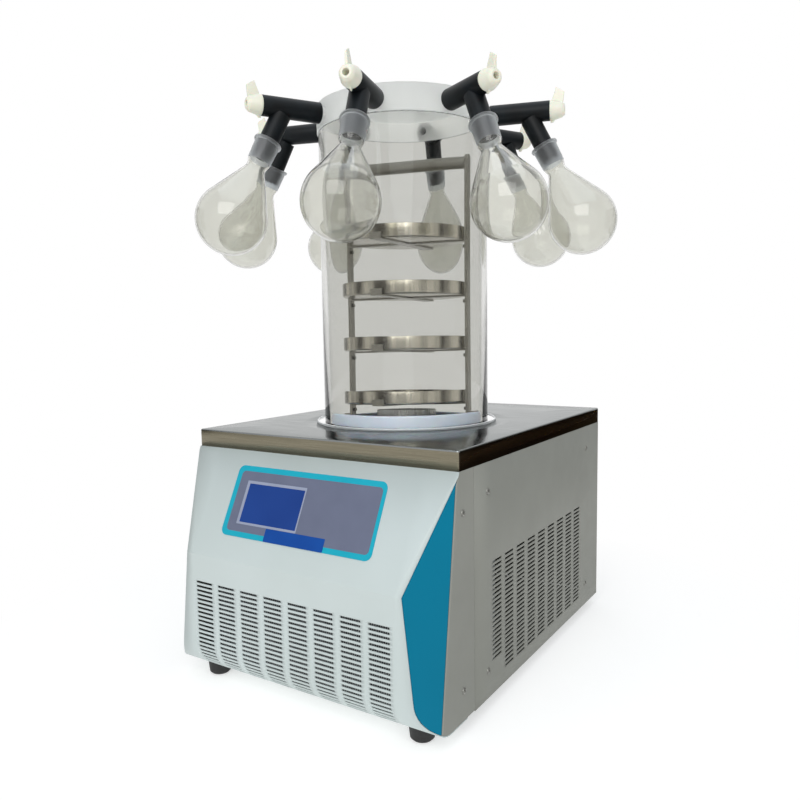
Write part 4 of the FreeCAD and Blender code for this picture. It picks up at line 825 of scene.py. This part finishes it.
def make_valves():
    """Rubber T-pieces with their branches, and the ivory knobs that turn in them."""
    start = VALVE_END - VALVE_LENGTH
    tip = -BRANCH_SHOULDER - STOPPER_LENGTH
    sleeve = fillet([
        (PORT_RADIUS + PUSH_FIT, start, 0), (VALVE_RADIUS + 0.0006, start, 0.0012),
        (VALVE_RADIUS, SLEEVE_END, 0.0010), (PLUG_RADIUS + PUSH_FIT, SLEEVE_END, 0),
        (PLUG_RADIUS + PUSH_FIT, start + PLUG_INSET, 0), (PORT_BORE, start + PLUG_INSET, 0),
        (PORT_BORE, start + PORT_INSET, 0), (PORT_RADIUS + PUSH_FIT, start + PORT_INSET, 0)],
        steps=4)
    limb = fillet([
        (0, -BRANCH_START, 0), (BRANCH_RADIUS, -BRANCH_START, 0),
        (BRANCH_RADIUS, -BRANCH_SHOULDER, 0.0003), (STOPPER_TIP, tip, 0.0008),
        (PORT_BORE, tip, 0.0004), (PORT_BORE, tip + STOPPER_BORE_DEPTH, 0),
        (0, tip + STOPPER_BORE_DEPTH, 0)], False, 4)
    tee = merge(moved(lathe([(p.x, p.y) for p in sleeve], 96), X_AXIS),
                moved(lathe([(p.x, p.y) for p in limb], 96, closed=False), branch(0)))
    bodies = [moved(tee, arm(joint)) for joint in ARMS]
    piece("valve_tees", *merge(*bodies), RUBBER, "cabinet", "black_rubber", ["valve_bodies"])

    foot = PLUG_INSET + 0.0008 - VALVE_LENGTH - VALVE_REACH
    outline = fillet([
        (0, foot, 0), (PLUG_RADIUS, foot, 0), (PLUG_RADIUS, 0, 0), (KNOB_RADIUS, 0, 0.0006),
        (KNOB_RADIUS, KNOB_STRAIGHT, 0.006), (KNOB_WAIST, KNOB_STRAIGHT + KNOB_TAPER, 0.006),
        (KNOB_NOSE, KNOB_LENGTH, 0.0014), (KNOB_BORE, KNOB_LENGTH, 0.0008),
        (KNOB_BORE - 0.0006, KNOB_LENGTH - KNOB_DEPTH, 0.0004), (0, KNOB_LENGTH - KNOB_DEPTH, 0)],
        False, 6)
    shell = moved(lathe([(p.x, p.y) for p in outline], 96, closed=False), X_AXIS)
    grip = blade(KNOB_GRIP, 0.0052, 0.0012, 1)
    pointer = blade(KNOB_POINTER, 0.0040, 0.0014, -1)
    for number, joint in enumerate(ARMS, start=1):
        place = arm(joint) @ Matrix.Translation((SLEEVE_END + KNOB_GAP, 0, 0))
        piece(f"knob_{number}", *moved(merge(shell, grip, pointer), place), IVORY,
              f"knob_{number}", "ivory_plastic", [f"valve_knob_{number}"], bevel=0.0005)


def blade(outline, root, tip, side):
    """Thin fin of (along, out) points in the plane of the valve's axis.

    root and tip are its thickness at the valve and at its far edge; side is 1 up, -1 down.
    """
    outer, inner = max(v for u, v in outline), min(v for u, v in outline)
    half = [(root + (tip - root) * (v - inner) / (outer - inner)) / 2 for u, v in outline]
    verts = [(u, sign * h, side * v) for sign in (-1, 1) for (u, v), h in zip(outline, half)]
    return verts, block_faces(len(outline))


make_front_cover()
make_side_sheets()
make_worktop()
make_screws()
make_control_panel()
make_chamber()
make_trays()
make_flasks()
make_valves()

KEPT = {
    "chassis": GALVANISED, "rear_panel": SIDE_PAINT_AND_SHADE, "left_front_strip": SIDE_PAINT_AND_SHADE,
    "right_front_strip": SIDE_PAINT_AND_SHADE, "left_cheek": TEAL_PAINT, "right_cheek": TEAL_PAINT,
    "control_board": BOARD, "feet": FOOT_RUBBER,
    "cold_trap": TRAP_STEEL, "trap_insulation": FOAM, "guide_tube": TRAP_STEEL,
    "compressor": COMPRESSOR_BLACK, "condenser": FINS, "fan_motor": COMPRESSOR_BLACK,
    "power_inlet": BLACK_PLASTIC, "vacuum_port": TRAP_STEEL, "drain_spigot": TRAP_STEEL,
    "drain_valve": TRAP_STEEL, "drain_handle": SCREW_STEEL, "manifold_drum": DRUM_ACRYLIC,
    "shelf_rack": RACK_STEEL, "fan_rotor": BLACK_PLASTIC, "rocker_switch": BLACK_PLASTIC,
}
for name, material in KEPT.items():
    for place in NODES[name].material_slots:
        place.material = material


# ---------------------------------------------------------------- studio
def plain_sheet(name, x, y):
    """Flat rectangle from -x, -y to x, y."""
    mesh = bpy.data.meshes.new(name)
    mesh.from_pydata([(-x, -y, 0), (x, -y, 0), (x, y, 0), (-x, y, 0)], [], [[0, 1, 2, 3]])
    thing = bpy.data.objects.new(name, mesh)
    bpy.context.scene.collection.objects.link(thing)
    return thing


def make_floor():
    """Pale floor that keeps the object's shadow and runs out into plain white."""
    floor = plain_sheet("floor", FLOOR_REACH, FLOOR_REACH)
    floor.location.z = -FLOOR_DROP
    material = bpy.data.materials.new("floor_white")
    material.use_nodes = True
    tree = material.node_tree
    near = tree.nodes["Principled BSDF"]
    near.inputs["Base Color"].default_value = (*linear("#d6d6d5"), 1)
    near.inputs["Roughness"].default_value = 0.9
    near.inputs["Specular IOR Level"].default_value = 0.1
    near.inputs["Emission Color"].default_value = (1, 1, 1, 1)
    near.inputs["Emission Strength"].default_value = FLOOR_GLOW
    far = tree.nodes.new("ShaderNodeEmission")
    place = tree.nodes.new("ShaderNodeTexCoord")
    length = tree.nodes.new("ShaderNodeVectorMath")
    length.operation = "LENGTH"
    tree.links.new(place.outputs["Object"], length.inputs[0])
    fade = tree.nodes.new("ShaderNodeMapRange")
    fade.inputs["From Min"].default_value, fade.inputs["From Max"].default_value = FLOOR_FADE
    tree.links.new(length.outputs["Value"], fade.inputs["Value"])
    mix = tree.nodes.new("ShaderNodeMixShader")
    tree.links.new(fade.outputs["Result"], mix.inputs["Fac"])
    tree.links.new(near.outputs["BSDF"], mix.inputs[1])
    tree.links.new(far.outputs["Emission"], mix.inputs[2])
    tree.links.new(mix.outputs["Shader"], tree.nodes["Material Output"].inputs["Surface"])
    floor.data.materials.append(material)


def make_world():
    """Plain soft light all round; white where it is seen or mirrored."""
    world = bpy.data.worlds.new("studio")
    bpy.context.scene.world = world
    world.use_nodes = True
    tree = world.node_tree
    light = tree.nodes["Background"]
    light.inputs["Color"].default_value = (*linear("#f5f8fa"), 1)
    light.inputs["Strength"].default_value = WORLD_LEVEL
    seen = tree.nodes.new("ShaderNodeBackground")
    seen.inputs["Color"].default_value = (1, 1, 1, 1)
    path = tree.nodes.new("ShaderNodeLightPath")
    either = tree.nodes.new("ShaderNodeMath")
    both = tree.nodes.new("ShaderNodeMath")
    either.use_clamp = both.use_clamp = True
    tree.links.new(path.outputs["Is Camera Ray"], either.inputs[0])
    tree.links.new(path.outputs["Is Glossy Ray"], either.inputs[1])
    tree.links.new(either.outputs[0], both.inputs[0])
    tree.links.new(path.outputs["Is Transmission Ray"], both.inputs[1])
    mix = tree.nodes.new("ShaderNodeMixShader")
    tree.links.new(both.outputs[0], mix.inputs["Fac"])
    tree.links.new(light.outputs[0], mix.inputs[1])
    tree.links.new(seen.outputs[0], mix.inputs[2])
    tree.links.new(mix.outputs[0], tree.nodes["World Output"].inputs["Surface"])


def aim(thing, place, target):
    """Stand a lamp or card at a place, facing a target with its -Z."""
    turn = (Vector(target) - Vector(place)).to_track_quat("-Z", "Y").to_matrix().to_4x4()
    thing.matrix_world = Matrix.Translation(place) @ turn


def lamp(name, place, target, width, height, power, color="#ffffff"):
    """Soft box of the given size in metres and power in watts."""
    data = bpy.data.lights.new(name, "AREA")
    data.shape = "RECTANGLE"
    data.size, data.size_y, data.energy = width, height, power
    data.color = linear(color)
    thing = bpy.data.objects.new(name, data)
    bpy.context.scene.collection.objects.link(thing)
    aim(thing, place, target)


def card(name, place, target, width, height, color):
    """Card beside the camera's view that shows in gloss only."""
    thing = plain_sheet(name, width / 2, height / 2)
    aim(thing, place, target)
    material = bpy.data.materials.new(name)
    material.use_nodes = True
    tree = material.node_tree
    glow = tree.nodes.new("ShaderNodeEmission")
    glow.inputs["Color"].default_value = (*linear(color), 1)
    tree.links.new(glow.outputs[0], tree.nodes["Material Output"].inputs["Surface"])
    thing.data.materials.append(material)
    thing.visible_camera = thing.visible_diffuse = thing.visible_shadow = False
    thing.visible_transmission = False


def make_camera():
    """Camera at the photograph's angle, as its bearing, dip and small tilt."""
    bearing, dip, tilt = CAMERA_BEARING, CAMERA_DIP, CAMERA_TILT
    ahead = Vector((-math.sin(bearing) * math.cos(dip), math.cos(bearing) * math.cos(dip),
                    -math.sin(dip)))
    level = Vector((math.cos(bearing), math.sin(bearing), 0))
    up = level.cross(ahead)
    right = level * math.cos(tilt) + up * math.sin(tilt)
    data = bpy.data.cameras.new("camera")
    data.lens, data.sensor_width = CAMERA_LENS, 36
    data.shift_x, data.shift_y = CAMERA_SHIFT
    camera = bpy.data.objects.new("camera", data)
    bpy.context.scene.collection.objects.link(camera)
    turn = Matrix((right, right.cross(ahead), -ahead)).transposed()
    camera.matrix_world = Matrix.Translation(CAMERA_PLACE) @ turn.to_4x4()
    bpy.context.scene.camera = camera


make_floor()
make_world()
make_camera()
lamp("key", (0.9, -2.3, 1.9), (0, 0, 0.4), 2.2, 1.8, 40)
lamp("top", (0.2, -0.2, 2.8), (0, 0, 0.4), 2.4, 2.4, 18, "#e2eefa")
card("side_card_right", (1.5, 1.26, 0.55), (0, 0, 0.55), 2.1, 1.6, "#45423d")
card("side_card_left", (-1.88, -0.68, 0.55), (0, 0, 0.55), 1.8, 1.6, "#57564f")
bpy.context.scene.view_settings.view_transform = "Standard"
bpy.context.scene.cycles.max_bounces = LIGHT_BOUNCES
bpy.context.scene.cycles.transmission_bounces = LIGHT_BOUNCES
bpy.context.scene.cycles.transparent_max_bounces = LIGHT_BOUNCES
